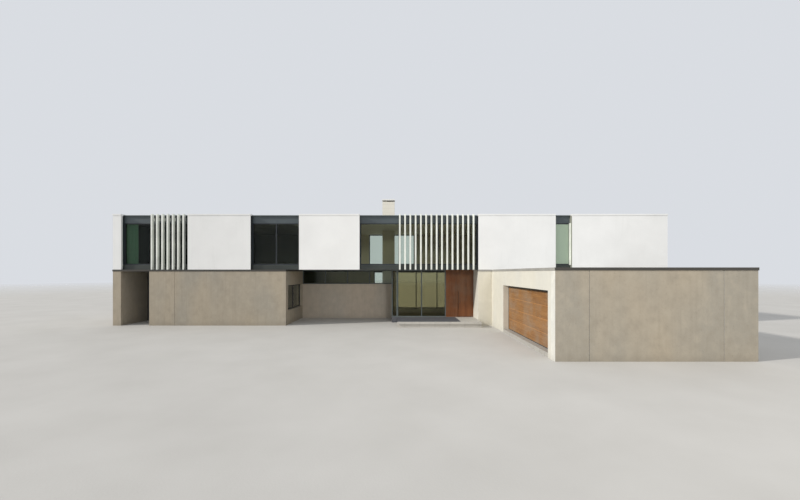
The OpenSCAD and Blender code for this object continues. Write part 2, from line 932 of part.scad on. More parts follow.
// Hinge plates and knuckles of the leaf, and the pull bar on the porch side
module door_hardware() {
  pull_x = leaf_l + pull_inset;
  pull_z = [leaf_bottom + pull_rise, leaf_bottom + pull_rise + pull_l];
  pull_fixing = pull_l / 8;
  color(slate) {
    for (z = hinge_z) {
      block(
        [axis_x - plate_clear - hinge_plate_w, axis_x - plate_clear],
        [leaf_in, leaf_in + plate_t],
        [z - hinge_h / 2, z + hinge_h / 2]
      );
      knuckle(z - knuckle_h / 2, knuckle_h, -1);
    }
    translate([pull_x, leaf_out - pull_stand, pull_z[0]])
      cylinder(r = pull_r, h = pull_l);
    for (z = [pull_z[0] + pull_fixing, pull_z[1] - pull_fixing])
      translate([pull_x, leaf_out - pull_stand, z])
        rotate([-90, 0, 0])
          cylinder(r = pull_fix_r, h = pull_stand);
  }
}

module first_floor_slab() {
  color(shade_gray)
    difference() {
      block([x_left + wall_t, x_right - wall_t], [y_in, y_rear_in], [ground_h, z_first]);
      chimney_shaft([ground_h - 1, z_first + 1], 0);
    }
}

module front_panels() {
  color(render_white) wall_panels(front_windows);
}

module rear_panels() {
  color(render_white) at_rear() wall_panels(rear_windows);
}

module upper_left_wall() {
  color(render_white)
    block([x_left, x_left + wall_t], [y_in, y_rear_in], [ground_h, z_lip]);
}

module upper_right_wall() {
  color(render_white)
    block([x_right - wall_t, x_right], [y_in, y_rear_in], [ground_h, z_lip]);
}

module window_sills() {
  color(slate) {
    sill_bands(front_windows);
    at_rear() sill_bands(rear_windows);
  }
}

module window_fascias() {
  color(slate) {
    fascias(front_windows);
    at_rear() fascias(rear_windows);
  }
}

module fascia_cappings() {
  color(slate) {
    cappings(front_windows);
    at_rear() cappings(rear_windows);
  }
}

upper_frame_y = [y_front + reveal, y_front + reveal + frame_d];

module upper_window_frames() {
  color(slate) {
    for (w = front_windows)
      frame_ring([w[0], w[1]], upper_frame_y, [z_sill, z_head], w[2]);
    at_rear()
      for (w = rear_windows)
        frame_ring([w[0], w[1]], upper_frame_y, [z_sill, z_head], w[2]);
  }
}

// The slit windows are the last on each long side, and have obscured glass
module window_panes(w) {
  frame_panes([w[0], w[1]], upper_frame_y, [z_sill, z_head], w[2]);
}

module upper_window_glass() {
  color(glass_tint) {
    for (i = [0 : len(front_windows) - 2])
      window_panes(front_windows[i]);
    at_rear()
      for (i = [0 : len(rear_windows) - 2])
        window_panes(rear_windows[i]);
  }
}

front_slit = front_windows[len(front_windows) - 1];
rear_slit = rear_windows[len(rear_windows) - 1];

module slit_window_glass() {
  color(glass_tint) {
    window_panes(front_slit);
    at_rear() window_panes(rear_slit);
  }
}

// Upright metal sheets on both sides of a slit window, from its frame to the wall face
module slit_lining(w) {
  for (x = [w[0], w[1] - lining_t]) {
    block([x, x + lining_t], [y_front, y_front + reveal], [z_sill, z_capping]);
    block([x, x + lining_t], [y_front, y_front + fin_d], [ground_h, z_sill]);
  }
}

module slit_window_linings() {
  color(slate) {
    slit_lining(front_slit);
    at_rear() slit_lining(rear_slit);
  }
}

// A rail under the ceiling with a slot for the runners, and the curtain drawn to its left end
rail_w = 32;
rail_h = 24;
rail_slot_w = 8;
rail_slot_d = 12;
rail_end = 20;
curtain_middle = y_in + curtain_back + curtain_d / 2;
curtain_left = front_windows[0][0] + rail_end;

module curtain_rail() {
  low = z_head - rail_h;
  color(render_white)
    along_x([curtain_left, front_windows[0][1] - rail_end])
      translate([curtain_middle, 0])
        polygon([
          [-rail_w / 2, low],
          [-rail_slot_w / 2, low],
          [-rail_slot_w / 2, low + rail_slot_d],
          [rail_slot_w / 2, low + rail_slot_d],
          [rail_slot_w / 2, low],
          [rail_w / 2, low],
          [rail_w / 2, z_head],
          [-rail_w / 2, z_head]
        ]);
}

module curtain() {
  color(cloth)
    block(
      [curtain_left, curtain_left + curtain_w],
      [curtain_middle - curtain_d / 2, curtain_middle + curtain_d / 2],
      [z_first + curtain_foot, z_head - rail_h]
    );
}

module left_fins() {
  color(render_white) fin_row(front_windows[0][1], left_fin_n);
}

module right_fins() {
  color(render_white) fin_row(front_windows[2][1], right_fin_n);
}

module roof_slab() {
  color(shade_gray)
    difference() {
      block([x_left + wall_t, x_right - wall_t], [y_in, y_rear_in], [z_head, z_roof]);
      chimney_shaft([z_head - 1, z_roof + 1], 0);
    }
}

module parapet_coping() {
  ends_y = [y_in + coping_joint, y_rear_in - coping_joint];
  color(render_white) {
    wall_lips(front_windows);
    at_rear() wall_lips(rear_windows);
    block([x_left - lip_out, x_left + wall_t], ends_y, [z_lip, z_top]);
    block([x_right - wall_t, x_right + lip_out], ends_y, [z_lip, z_top]);
  }
}

chimney_top = z_top + chimney_above;
chimney_body_top = chimney_top - chimney_cap_t - chimney_slot;

module chimney() {
  color(chimney_beige)
    chimney_shaft([hall_floor_z, chimney_body_top], 0);
}

// The cap on four posts, and the flue pot that opens below it
flue_clear = 20;

module chimney_cap() {
  far = chimney_post + chimney_post_back;
  color(chimney_beige) {
    chimney_shaft([chimney_top - chimney_cap_t, chimney_top], chimney_cap_out);
    translate([x_left + chimney_x, y_front + chimney_y, chimney_body_top]) {
      for (dx = [chimney_post_back, chimney_w - far], dy = [chimney_post_back, chimney_d - far])
        translate([dx, dy, 0])
          cube([chimney_post, chimney_post, chimney_slot]);
      translate([chimney_w / 2, chimney_d / 2, 0])
        difference() {
          cylinder(r = flue_r, h = chimney_slot - flue_clear);
          translate([0, 0, -1])
            cylinder(r = flue_r - flue_t, h = chimney_slot);
        }
    }
  }
}

ground_floor_slabs();
porch_landing();
left_end_wall();
alcove_back_wall();
alcove_side_wall();
left_front_wall();
left_return_wall();
porch_low_wall();
entrance_pier();
right_front_wall();
right_end_wall();
rear_ground_walls();
garage_side_wall();
garage_lintel();
garage_front_wall();
garage_right_wall();
garage_roof();
garage_door();
garage_door_frame();
wall_coping();
ground_window_frames();
ground_window_glass();
clerestory_frame();
clerestory_glass();
entrance_screen_frame();
entrance_screen_glass();
door_side_panel();
door_frame();
door_hinges();
front_door();
door_hardware();
first_floor_slab();
front_panels();
rear_panels();
upper_left_wall();
upper_right_wall();
window_sills();
window_fascias();
upper_window_frames();
upper_window_glass();
left_fins();
right_fins();
roof_slab();
parapet_coping();
chimney();
chimney_cap();
fascia_cappings();
slit_window_glass();
slit_window_linings();
garage_side_coping();
movement_seals();
curtain_rail();
curtain();
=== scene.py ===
"""The looks of the detached house: finishes, thin trim, a curtain, floor, light and camera."""
import json
import math

import bmesh
import bpy
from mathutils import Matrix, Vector


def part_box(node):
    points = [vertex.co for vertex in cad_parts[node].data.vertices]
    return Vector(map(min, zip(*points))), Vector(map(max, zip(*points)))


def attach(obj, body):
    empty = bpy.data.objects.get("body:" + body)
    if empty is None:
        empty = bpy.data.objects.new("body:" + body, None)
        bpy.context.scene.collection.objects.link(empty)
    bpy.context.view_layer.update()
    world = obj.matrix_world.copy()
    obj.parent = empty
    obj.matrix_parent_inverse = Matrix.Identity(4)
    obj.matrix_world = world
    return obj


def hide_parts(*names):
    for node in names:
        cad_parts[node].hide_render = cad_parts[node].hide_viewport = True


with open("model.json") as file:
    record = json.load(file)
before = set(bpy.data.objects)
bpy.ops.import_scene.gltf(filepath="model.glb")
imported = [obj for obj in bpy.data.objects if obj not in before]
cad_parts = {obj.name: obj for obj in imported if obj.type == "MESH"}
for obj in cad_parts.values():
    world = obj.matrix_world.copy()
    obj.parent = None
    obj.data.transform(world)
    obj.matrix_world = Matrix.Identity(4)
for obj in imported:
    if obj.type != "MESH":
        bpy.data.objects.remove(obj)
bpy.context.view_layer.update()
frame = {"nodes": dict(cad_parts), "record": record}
nodes = frame["nodes"]
HOUSE = "house"
DOOR = "door_leaf"


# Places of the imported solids

def solids(node):
    """The lowest and highest corner of each separate solid of a node, from the left to the right."""
    mesh = nodes[node].data
    known = {}
    points = [known.setdefault(tuple(round(c, 5) for c in v.co), len(known)) for v in mesh.vertices]
    parent = list(range(len(known)))

    def root(i):
        while parent[i] != i:
            parent[i] = parent[parent[i]]
            i = parent[i]
        return i

    for face in mesh.polygons:
        first, *others = (root(points[i]) for i in face.vertices)
        for other in others:
            parent[root(other)] = root(first)
    groups = {}
    for v in mesh.vertices:
        groups.setdefault(root(points[v.index]), []).append(v.co)
    boxes = []
    for places in groups.values():
        low = Vector([min(place[axis] for place in places) for axis in range(3)])
        high = Vector([max(place[axis] for place in places) for axis in range(3)])
        boxes.append((low, high))
    return sorted(boxes, key=lambda box: tuple(box[0]))


slab_low, slab_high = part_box("first_floor_slab")
roof_low, roof_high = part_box("roof_slab")
landing_low, landing_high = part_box("porch_landing")
leaf_low, leaf_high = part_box("front_door")
garage_low, garage_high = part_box("garage_door")
sill_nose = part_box("window_sills")[0].y
porch_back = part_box("porch_low_wall")[1].y
Y_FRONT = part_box("front_panels")[0].y
Y_MIRROR = Y_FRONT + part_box("rear_panels")[1].y
STOREY = slab_low.z

# Lowest and highest corners of the rooms, where walls are plastered
UPPER_ROOMS = ((slab_low.x, slab_low.y, slab_high.z), (slab_high.x, slab_high.y, roof_low.z))
REAR_ROOMS = ((slab_low.x, porch_back, 0.0), (slab_high.x, slab_high.y, STOREY))


# Shader helpers

def preset(node, values):
    """Sets inputs of a shader node, each by its name or number."""
    for socket, value in values.items():
        node.inputs[socket].default_value = value


class Finish:
    """A procedural material built by short calls. Its coordinates are metres in the house's own frame."""

    def __init__(self, name, roughness=0.5, metallic=0.0, specular=0.5):
        self.material = bpy.data.materials.new(name)
        self.material.use_nodes = True
        self.tree = self.material.node_tree
        self.shader = self.tree.nodes["Principled BSDF"]
        preset(self.shader, {"Roughness": roughness, "Metallic": metallic, "Specular IOR Level": specular})
        self.place = self.node("TexCoord").outputs["Object"]
        self.axes = None
        self.normal = None

    def node(self, kind):
        return self.tree.nodes.new("ShaderNode" + kind)

    def feed(self, socket, value):
        """Links value to socket if it is an output, or else sets it."""
        if isinstance(value, bpy.types.NodeSocket):
            self.tree.links.new(value, socket)
        elif socket.type == "RGBA" and len(value) == 3:
            socket.default_value = (*value, 1.0)
        else:
            socket.default_value = value

    def stretched(self, sizes):
        """The place divided by one size for each axis, so that a pattern takes those lengths."""
        mapping = self.node("Mapping")
        self.feed(mapping.inputs["Vector"], self.place)
        preset(mapping, {"Scale": [1 / size for size in sizes]})
        return mapping.outputs["Vector"]

    def noise(self, size, detail=3.0, rough=0.55):
        """Noise from 0 to 1 with patches of about size metres, or with a size for each axis."""
        node = self.node("TexNoise")
        uneven = isinstance(size, tuple)
        self.feed(node.inputs["Vector"], self.stretched(size) if uneven else self.place)
        preset(node, {"Scale": 1.0 if uneven else 1 / size, "Detail": detail, "Roughness": rough})
        return node.outputs["Fac"]

    def along(self, axis):
        """One coordinate of the place: 0 for X, 1 for Y, 2 for Z."""
        if self.axes is None:
            node = self.node("SeparateXYZ")
            self.feed(node.inputs["Vector"], self.place)
            self.axes = node.outputs
        return self.axes[axis]

    def facing(self, axis):
        """How far the surface's normal points along an axis, from -1 to 1."""
        node = self.node("SeparateXYZ")
        self.feed(node.inputs["Vector"], self.node("NewGeometry").outputs["Normal"])
        return node.outputs[axis]

    def math(self, operation, first, second=0.0):
        node = self.node("Math")
        node.operation = operation
        self.feed(node.inputs[0], first)
        self.feed(node.inputs[1], second)
        return node.outputs["Value"]

    def times(self, first, second):
        return self.math("MULTIPLY", first, second)

    def between(self, value, low, high):
        """1 where value lies from low to high, or else 0."""
        above = self.math("GREATER_THAN", value, low)
        below = self.math("LESS_THAN", value, high)
        return self.times(above, below)

    def inside(self, low, high, margin=0.008):
        """1 inside the box low..high and on its faces, or else 0."""
        share = 1.0
        for axis in range(3):
            within = self.between(self.along(axis), low[axis] - margin, high[axis] + margin)
            share = self.times(within, share)
        return share

    def spread(self, value, low, high, to_low=0.0, to_high=1.0):
        """Value carried from low..high to to_low..to_high, and held there outside."""
        node = self.node("MapRange")
        for socket, number in zip(node.inputs[:5], (value, low, high, to_low, to_high)):
            self.feed(socket, number)
        return node.outputs["Result"]

    def evened(self, noise, to_low=0.0, to_high=1.0):
        """Noise carried from its usual range to to_low..to_high."""
        return self.spread(noise, 0.3, 0.7, to_low, to_high)

    def scatter(self, value):
        """A steady random number from 0 to 1 for each whole value."""
        node = self.node("TexWhiteNoise")
        node.noise_dimensions = "1D"
        self.feed(node.inputs["W"], value)
        return node.outputs["Value"]

    def mix(self, factor, first, second, blend="MIX"):
        node = self.node("Mix")
        node.data_type = "RGBA"
        node.blend_type = blend
        self.feed(node.inputs[0], factor)
        self.feed(node.inputs[6], first)
        self.feed(node.inputs[7], second)
        return node.outputs[2]

    def coat_and_light_by_facing(self, base, colour, axis, facing_colour):
        """Base carried from colour to another tone, if there is one, on the faces towards an axis's low
        end. This paints light and shade by the way a face looks, offsetting the sun; on the garage front
        wall's left end it also gives the cream render of the side wall.
        """
        if facing_colour is None:
            return base
        change = tuple(a / b for a, b in zip(facing_colour, colour))
        facing_toned = self.mix(1.0, base, change, blend="MULTIPLY")
        return self.mix(self.math("LESS_THAN", self.facing(axis), -0.5), base, facing_toned)

    def clouded(self, base, share, gray):
        """Base darkened by a gray where share is 1."""
        return self.mix(share, base, (gray, gray, gray), blend="MULTIPLY")

    def colour(self, value):
        self.feed(self.shader.inputs["Base Color"], value)

    def roughness(self, value):
        self.feed(self.shader.inputs["Roughness"], value)

    def bump(self, height, distance, strength=1.0):
        """Raises the surface by height times distance metres; a later bump adds to an earlier one."""
        node = self.node("Bump")
        preset(node, {"Strength": strength, "Distance": distance})
        self.feed(node.inputs["Height"], height)
        if self.normal is not None:
            self.feed(node.inputs["Normal"], self.normal)
        self.normal = node.outputs["Normal"]
        self.feed(self.shader.inputs["Normal"], self.normal)


def tinted(colour, factor):
    """A lighter or darker tone of a colour."""
    return tuple(min(1.0, c * factor) for c in colour)


def added(name, data):
    """A new object of the scene that holds a mesh, a lamp or a camera."""
    item = bpy.data.objects.new(name, data)
    bpy.context.scene.collection.objects.link(item)
    return item


# Tones of the rooms, and where along the house one tone of plaster fades into the next. The two darker
# tones at the left are painted shade, darkening the rooms behind the left windows.

PLASTER = (0.72, 0.66, 0.48)
SHADED_PLASTER = (0.11, 0.115, 0.085)
DEEPLY_SHADED_PLASTER = (0.035, 0.045, 0.04)
CEILING = (0.90, 0.87, 0.72)
ROOM_FLOOR = (0.46, 0.37, 0.24)
DEEP_SHADE_TO_SHADE = (-12.0, -10.5)
SHADE_TO_PALE = (-6.5, -5.0)


def plaster(f, clouds, pale=PLASTER):
    """Painted plaster of the rooms: darkest at the left end, dark beside it and pale in the right half. The
    two darker tones are painted shade.
    """
    paint = f.mix(f.spread(f.along(0), *DEEP_SHADE_TO_SHADE), DEEPLY_SHADED_PLASTER, SHADED_PLASTER)
    paint = f.mix(f.spread(f.along(0), *SHADE_TO_PALE), paint, pale)
    return f.clouded(paint, f.evened(clouds), 0.95)


# Finishes

STAIN = (0.62, 0.60, 0.56)
# Colour of the painted shade under the chimney's cap
CAP_SHADE = (0.035, 0.033, 0.030)
DUST = (0.42, 0.40, 0.36)
SILVERED = (0.30, 0.22, 0.15)


def render_coat(name, colour, mottle=0.03, stain_share=0.12, rooms=PLASTER, courses=None, shade_below=None,
                left=None):
    """Fine sand-finished render: cloudy tone, faint runs down the wall and a sanded surface.

    rooms is the colour of the plaster in the upper rooms, courses the height of the faint level lines of a
    shaft built up in lifts, shade_below the level under which the coat is painted almost black, a painted
    shade for the shadow under the chimney's cap, and left a darker colour on the faces towards the left, a
    painted shade that offsets the sun lighting those faces.
    """
    f = Finish(name, roughness=0.85, specular=0.25)
    clouds = f.noise(1.4, detail=4.0)
    base = f.mix(f.evened(clouds), tinted(colour, 1 - mottle), tinted(colour, 1 + mottle))
    runs = f.noise((0.16, 0.16, 2.6), detail=2.0)
    patches = f.noise(2.2, detail=2.0)
    stained = f.times(f.spread(runs, 0.52, 0.78), f.spread(patches, 0.45, 0.7))
    base = f.mix(f.times(stained, stain_share), base, tinted(STAIN, max(colour)))
    top = f.spread(f.facing(2), 0.7, 0.95)
    top_dirt = f.times(top, f.evened(f.noise(0.5, detail=4.0)))
    base = f.mix(f.times(top_dirt, 0.25), base, tinted(STAIN, 0.7))
    if courses is not None:
        lift = f.math("FRACT", f.math("DIVIDE", f.along(2), courses))
        line = f.math("LESS_THAN", lift, 0.07)
        base = f.mix(f.times(line, 0.30), base, tinted(colour, 0.72))
        f.bump(f.math("SUBTRACT", 1.0, line), 0.002)
    speckle = f.noise(0.02, detail=2.0)
    base = f.mix(f.spread(speckle, 0.35, 0.65, 0.0, 0.08), base, tinted(colour, 0.8))
    # painted shade: under the given level the coat is darkened almost to black, standing in for the shadow
    # under the chimney's cap
    if shade_below is not None:
        shade_height = f.math("ADD", f.along(2), f.evened(speckle, -0.006, 0.006))
        base = f.mix(f.spread(shade_height, shade_below - 0.010, shade_below + 0.004, 0.92, 0.0), base, CAP_SHADE)
    # painted shade: the faces towards the left take a darker tone, offsetting the sun that lights them from
    # that side
    base = f.coat_and_light_by_facing(base, colour, 0, left)
    f.colour(f.mix(f.inside(*UPPER_ROOMS), base, plaster(f, clouds, rooms)))
    f.roughness(f.evened(clouds, 0.78, 0.92))
    f.bump(f.noise(0.012, detail=3.0), 0.0012)
    f.bump(f.noise(0.6, detail=2.0), 0.004, 0.5)
    return f.material


def soffit_coat(name, colour, floor_board=0.18):
    """Smooth skim under the first floor, with the timber floor of the upper rooms on its other side."""
    f = Finish(name, roughness=0.8, specular=0.25)
    clouds = f.noise(1.1, detail=4.0)
    skim = f.mix(f.evened(clouds), tinted(colour, 0.95), tinted(colour, 1.03))
    board = f.scatter(f.math("FLOOR", f.math("DIVIDE", f.along(1), floor_board)))
    boards = f.mix(board, tinted(ROOM_FLOOR, 0.8), tinted(ROOM_FLOOR, 1.2))
    grain = f.noise((0.9, 0.03, 0.03), detail=4.0)
    boards = f.mix(f.spread(grain, 0.45, 0.7, 0.0, 0.4), boards, tinted(ROOM_FLOOR, 0.6))
    f.colour(f.mix(f.spread(f.facing(2), 0.5, 0.6), skim, boards))
    f.roughness(f.evened(clouds, 0.6, 0.8))
    f.bump(f.noise(0.03, detail=3.0), 0.0004)
    f.bump(clouds, 0.003, 0.4)
    return f.material


def mineral_wall(name, colour, warm, cool, tone=1.0, front=None, left=None):
    """Pale mineral wall: broad tonal fields, trowel clouds, pores and a darker band towards the foot.

    front and left are the colours of the faces towards the front and towards the left, where they differ.
    They paint light and shade by facing: a lighter front is painted light beside sides that the sun lights
    more, and the left faces of the garage front wall take the cream render's darker tone.
    """
    f = Finish(name, roughness=0.8, specular=0.3)
    fields = f.noise((1.9, 1.9, 6.0), detail=1.0)
    clouds = f.noise(0.75, detail=5.0, rough=0.62)
    base = f.mix(f.spread(fields, 0.40, 0.60), cool, warm)
    base = f.mix(f.spread(clouds, 0.3, 0.75, 0.0, 0.35), base, colour)
    trowelled = f.noise((0.33, 0.33, 0.42), detail=4.0, rough=0.6)
    base = f.mix(f.spread(trowelled, 0.50, 0.75, 0.0, 0.55 * tone), base, tinted(colour, 1.22))
    base = f.mix(f.spread(trowelled, 0.25, 0.48, 0.50 * tone, 0.0), base, tinted(colour, 0.80))
    runs = f.noise((0.11, 0.11, 2.6), detail=3.0)
    base = f.mix(f.spread(runs, 0.54, 0.76, 0.0, 0.35 * tone), base, tinted(colour, 0.80))
    base = f.mix(f.spread(runs, 0.26, 0.44, 0.25 * tone, 0.0), base, tinted(colour, 1.18))
    speckle = f.noise(0.015, detail=2.0)
    base = f.mix(f.spread(speckle, 0.38, 0.62, 0.0, 0.18 * tone), base, tinted(colour, 0.72))
    pores = f.noise(0.035, detail=1.0)
    pitted = f.spread(pores, 0.26, 0.32, 1.0, 0.0)
    base = f.mix(f.times(pitted, 0.35 * tone), base, tinted(colour, 0.45))
    # darker towards the foot of the wall
    ragged = f.math("ADD", f.along(2), f.evened(f.noise(0.35), -0.10, 0.10))
    base = f.mix(f.spread(ragged, 0.04, 0.36, 0.30, 0.0), base, tinted(colour, 0.62))
    # painted light and shade by facing: the front and the left faces take their own tones, set against how
    # the sun lights them
    base = f.coat_and_light_by_facing(base, colour, 1, front)
    base = f.coat_and_light_by_facing(base, colour, 0, left)
    f.colour(f.mix(f.inside(*REAR_ROOMS), base, plaster(f, clouds)))
    f.roughness(f.evened(clouds, 0.68, 0.88))
    f.bump(speckle, 0.0012)
    f.bump(f.math("SUBTRACT", 1.0, pitted), 0.0015)
    f.bump(clouds, 0.003, 0.6)
    return f.material


def coated_metal(name, colour, roughness=0.38, dust=0.25, sheet=None, seam_width=0.005):
    """Powder-coated sheet: orange-peel surface, uneven sheen and a film of dust on what faces up.

    sheet is the length of the sheets that a long run is made of.
    """
    f = Finish(name, roughness=roughness)
    tone = f.noise(0.9, detail=3.0)
    base = f.mix(f.evened(tone), tinted(colour, 0.88), tinted(colour, 1.12))
    top = f.spread(f.facing(2), 0.6, 0.95)
    settled = f.spread(f.noise(0.25, detail=4.0), 0.35, 0.7, 0.3 * dust, 2 * dust)
    base = f.mix(f.times(top, settled), base, DUST)
    if sheet is not None:
        for axis in (0, 1):
            share = f.math("FRACT", f.math("DIVIDE", f.along(axis), sheet))
            seam = f.between(share, 0.0, seam_width / sheet)
            base = f.mix(f.times(seam, 0.8), base, tinted(colour, 0.25))
            f.bump(f.math("SUBTRACT", 1.0, seam), 0.002)
    f.colour(base)
    streaks = f.noise((0.3, 0.3, 0.05), detail=3.0)
    f.roughness(f.evened(streaks, roughness - 0.07, roughness + 0.1))
    f.bump(f.noise(0.004, detail=1.0), 0.00012)
    return f.material


def rubber(name, colour):
    """Matt extruded rubber: faint lengthwise drawing marks, dust and bloom."""
    f = Finish(name, roughness=0.82, specular=0.25)
    bloom = f.noise(0.12, detail=4.0)
    base = f.mix(f.spread(bloom, 0.35, 0.7), colour, tinted(colour, 1.5))
    f.colour(f.mix(f.spread(f.noise(0.01), 0.4, 0.65, 0.0, 0.3), base, tinted(colour, 0.7)))
    f.roughness(f.evened(bloom, 0.7, 0.92))
    f.bump(f.noise(0.003, detail=2.0), 0.0001)
    return f.material


MIRROR_COLOUR = (0.95, 0.98, 0.97, 1.0)
MIRROR_ROUGHNESS = 0.012
SATIN_ROUGHNESS = 0.22
SCHLICK_POWER = 5.0


def pane(name, tint, ior=None, haze=None):
    """A pane of glass, clear with a refractive index or satin with a haze.

    A clear pane shows what is behind it with a tint, and mirrors at glancing angles, more so with a higher
    ior and alike on both faces. haze is the colour and share of a satin film.
    """
    material = bpy.data.materials.new(name)
    material.use_nodes = True
    nodes_of = material.node_tree.nodes
    link = material.node_tree.links.new
    principled = nodes_of["Principled BSDF"]
    mix = nodes_of.new("ShaderNodeMixShader")
    clear = nodes_of.new("ShaderNodeBsdfTransparent")
    preset(clear, {"Color": (*tint, 1.0)})
    link(clear.outputs["BSDF"], mix.inputs[1])
    link(mix.outputs["Shader"], nodes_of["Material Output"].inputs["Surface"])
    if haze is None:
        nodes_of.remove(principled)
        mirror = nodes_of.new("ShaderNodeBsdfGlossy")
        preset(mirror, {"Color": MIRROR_COLOUR, "Roughness": MIRROR_ROUGHNESS})
        glance = nodes_of.new("ShaderNodeLayerWeight")
        preset(glance, {"Blend": 0.5})
        rise = nodes_of.new("ShaderNodeMath")
        rise.operation = "POWER"
        preset(rise, {1: SCHLICK_POWER})
        head_on = ((ior - 1) / (ior + 1)) ** 2
        mirrored = nodes_of.new("ShaderNodeMath")
        mirrored.operation = "MULTIPLY_ADD"
        preset(mirrored, {1: 1 - head_on, 2: head_on})
        link(glance.outputs["Facing"], rise.inputs[0])
        link(rise.outputs["Value"], mirrored.inputs[0])
        link(mirrored.outputs["Value"], mix.inputs["Fac"])
        link(mirror.outputs["BSDF"], mix.inputs[2])
    else:
        colour, share = haze
        preset(principled, {"Base Color": (*colour, 1.0), "Roughness": SATIN_ROUGHNESS})
        preset(mix, {"Fac": share})
        link(principled.outputs["BSDF"], mix.inputs[2])
    return material


# What keeps the random tones of boards in one row apart, and the fine grain's share of the broad one
NEXT_BOARD = 37.0
FINE_GRAIN = 0.22


def timber(name, colour, dark, grain, board, board_axis, start, ends=None, pale_levels=(), faded=0.35):
    """Oiled boards, each of its own tone.

    grain holds the pattern's length along each axis, board is a board's width, board_axis the axis across
    the boards and start where the first begins. ends says along which axis boards are butted, how long they
    are and where the first butt lies. pale_levels lists the levels just under which a pale line is painted
    along the edge, and faded is how much the weather has taken the colour out in patches.
    """
    f = Finish(name, roughness=0.45, specular=0.4)
    across = f.math("DIVIDE", f.math("SUBTRACT", f.along(board_axis), start), board)
    index = f.math("FLOOR", across)
    if ends is not None:
        axis, length, shift = ends
        stagger = f.times(f.scatter(index), length)
        run = f.math("DIVIDE", f.math("SUBTRACT", f.along(axis), f.math("ADD", stagger, shift)), length)
        index = f.math("ADD", index, f.times(f.math("FLOOR", run), NEXT_BOARD))
    tone = f.scatter(index)
    base = f.mix(f.spread(tone, 0.0, 1.0, 0.15, 0.85), dark, colour)
    broad = f.noise(grain, detail=4.0, rough=0.6)
    fine = f.noise(tuple(length * FINE_GRAIN for length in grain), detail=5.0, rough=0.7)
    base = f.mix(f.spread(broad, 0.35, 0.7, 0.0, 0.55), base, tinted(colour, 1.3))
    base = f.mix(f.spread(fine, 0.52, 0.72, 0.0, 0.60), base, tinted(dark, 0.6))
    silvered = f.times(f.spread(f.noise(0.9, detail=3.0), 0.44, 0.66), faded)
    base = f.mix(silvered, base, tinted(SILVERED, max(colour) * 3.0))
    # a pale line painted just under each listed level
    for level in pale_levels:
        edge = f.between(f.along(2), level - 0.016, level + 0.001)
        base = f.mix(f.times(edge, 0.75), base, tinted(colour, 2.1))
    f.colour(base)
    f.roughness(f.evened(fine, 0.38, 0.58))
    f.bump(fine, 0.0008)
    return f.material


# How far the landing's dark field reaches before the upper storey's face, and where it ends at the right
DARK_FIELD_BEFORE_FACE = 0.92
DARK_FIELD_END = 4.27


def paving(name, colour, slate, tile, joint=0.008):
    """Sawn stone slabs in a running bond, with sanded joints, a dark field on the landing, and a painted
    shade in the same dark colour on the slab's face beside the landing.
    """
    f = Finish(name, roughness=0.7, specular=0.35)
    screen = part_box("entrance_screen_frame")[0]
    field_low = (landing_low.x, Y_FRONT - DARK_FIELD_BEFORE_FACE, landing_high.z)
    field_high = (DARK_FIELD_END, landing_high.y, landing_high.z)
    foot_low = (screen.x, Y_FRONT, 0.0)
    foot_high = (landing_low.x, screen.y, landing_high.z)
    ground = f.mix(f.inside(landing_low, landing_high), colour, tinted(colour, 1.3))
    # a dark field on the landing, in the colour passed as slate
    ground = f.mix(f.inside(field_low, field_high), ground, slate)
    # painted shade: the slab's face left of the landing, under the screen, takes the same dark colour as
    # the field
    ground = f.mix(f.inside(foot_low, foot_high), ground, slate)
    brick = f.node("TexBrick")
    f.feed(brick.inputs["Vector"], f.place)
    preset(brick, {"Scale": 1.0, "Brick Width": tile[0], "Row Height": tile[1]})
    preset(brick, {"Mortar Size": joint / 2, "Mortar Smooth": 0.1, "Bias": 0.0})
    for socket, gray in (("Color1", 0.92), ("Color2", 1.0), ("Mortar", 0.5)):
        preset(brick, {socket: (gray, gray, gray, 1.0)})
    base = f.mix(1.0, ground, brick.outputs["Color"], blend="MULTIPLY")
    cloud = f.noise(0.3, detail=5.0)
    base = f.clouded(base, f.spread(cloud, 0.35, 0.7, 0.0, 0.3), 0.8)
    speckle = f.noise(0.006, detail=2.0)
    f.colour(f.mix(f.spread(speckle, 0.4, 0.65, 0.0, 0.15), base, tinted(colour, 1.1)))
    f.roughness(f.evened(cloud, 0.6, 0.8))
    f.bump(f.math("SUBTRACT", 1.0, brick.outputs["Fac"]), 0.004)
    f.bump(speckle, 0.0004)
    return f.material


def membrane(name, colour):
    """Dimpled roofing sheet with puddle rings and dust. Its underside is the ceiling of the rooms."""
    f = Finish(name, roughness=0.72, specular=0.3)
    dust = f.noise(1.6, detail=5.0, rough=0.6)
    rings = f.noise(0.8, detail=2.0)
    base = f.mix(f.spread(dust, 0.4, 0.7), colour, tinted(colour, 1.35))
    base = f.mix(f.spread(rings, 0.49, 0.52, 0.0, 0.18), base, tinted(colour, 0.75))
    f.colour(f.mix(f.spread(f.facing(2), -0.6, -0.5), plaster(f, dust, CEILING), base))
    f.roughness(f.evened(dust, 0.6, 0.85))
    f.bump(f.noise(0.01, detail=2.0), 0.0006)
    f.bump(f.noise(1.2, detail=1.0), 0.006, 0.4)
    return f.material


def brushed(name, colour):
    """Brushed metal with hairlines along Z and a few finger marks."""
    f = Finish(name, roughness=0.35, metallic=1.0)
    hair = f.noise((0.002, 0.002, 0.12), detail=3.0)
    marks = f.noise(0.06, detail=3.0)
    f.colour(f.mix(f.evened(hair), tinted(colour, 0.8), tinted(colour, 1.2)))
    f.roughness(f.math("ADD", f.evened(hair, 0.22, 0.38), f.spread(marks, 0.5, 0.7, 0.0, 0.12)))
    f.bump(hair, 0.0001)
    return f.material


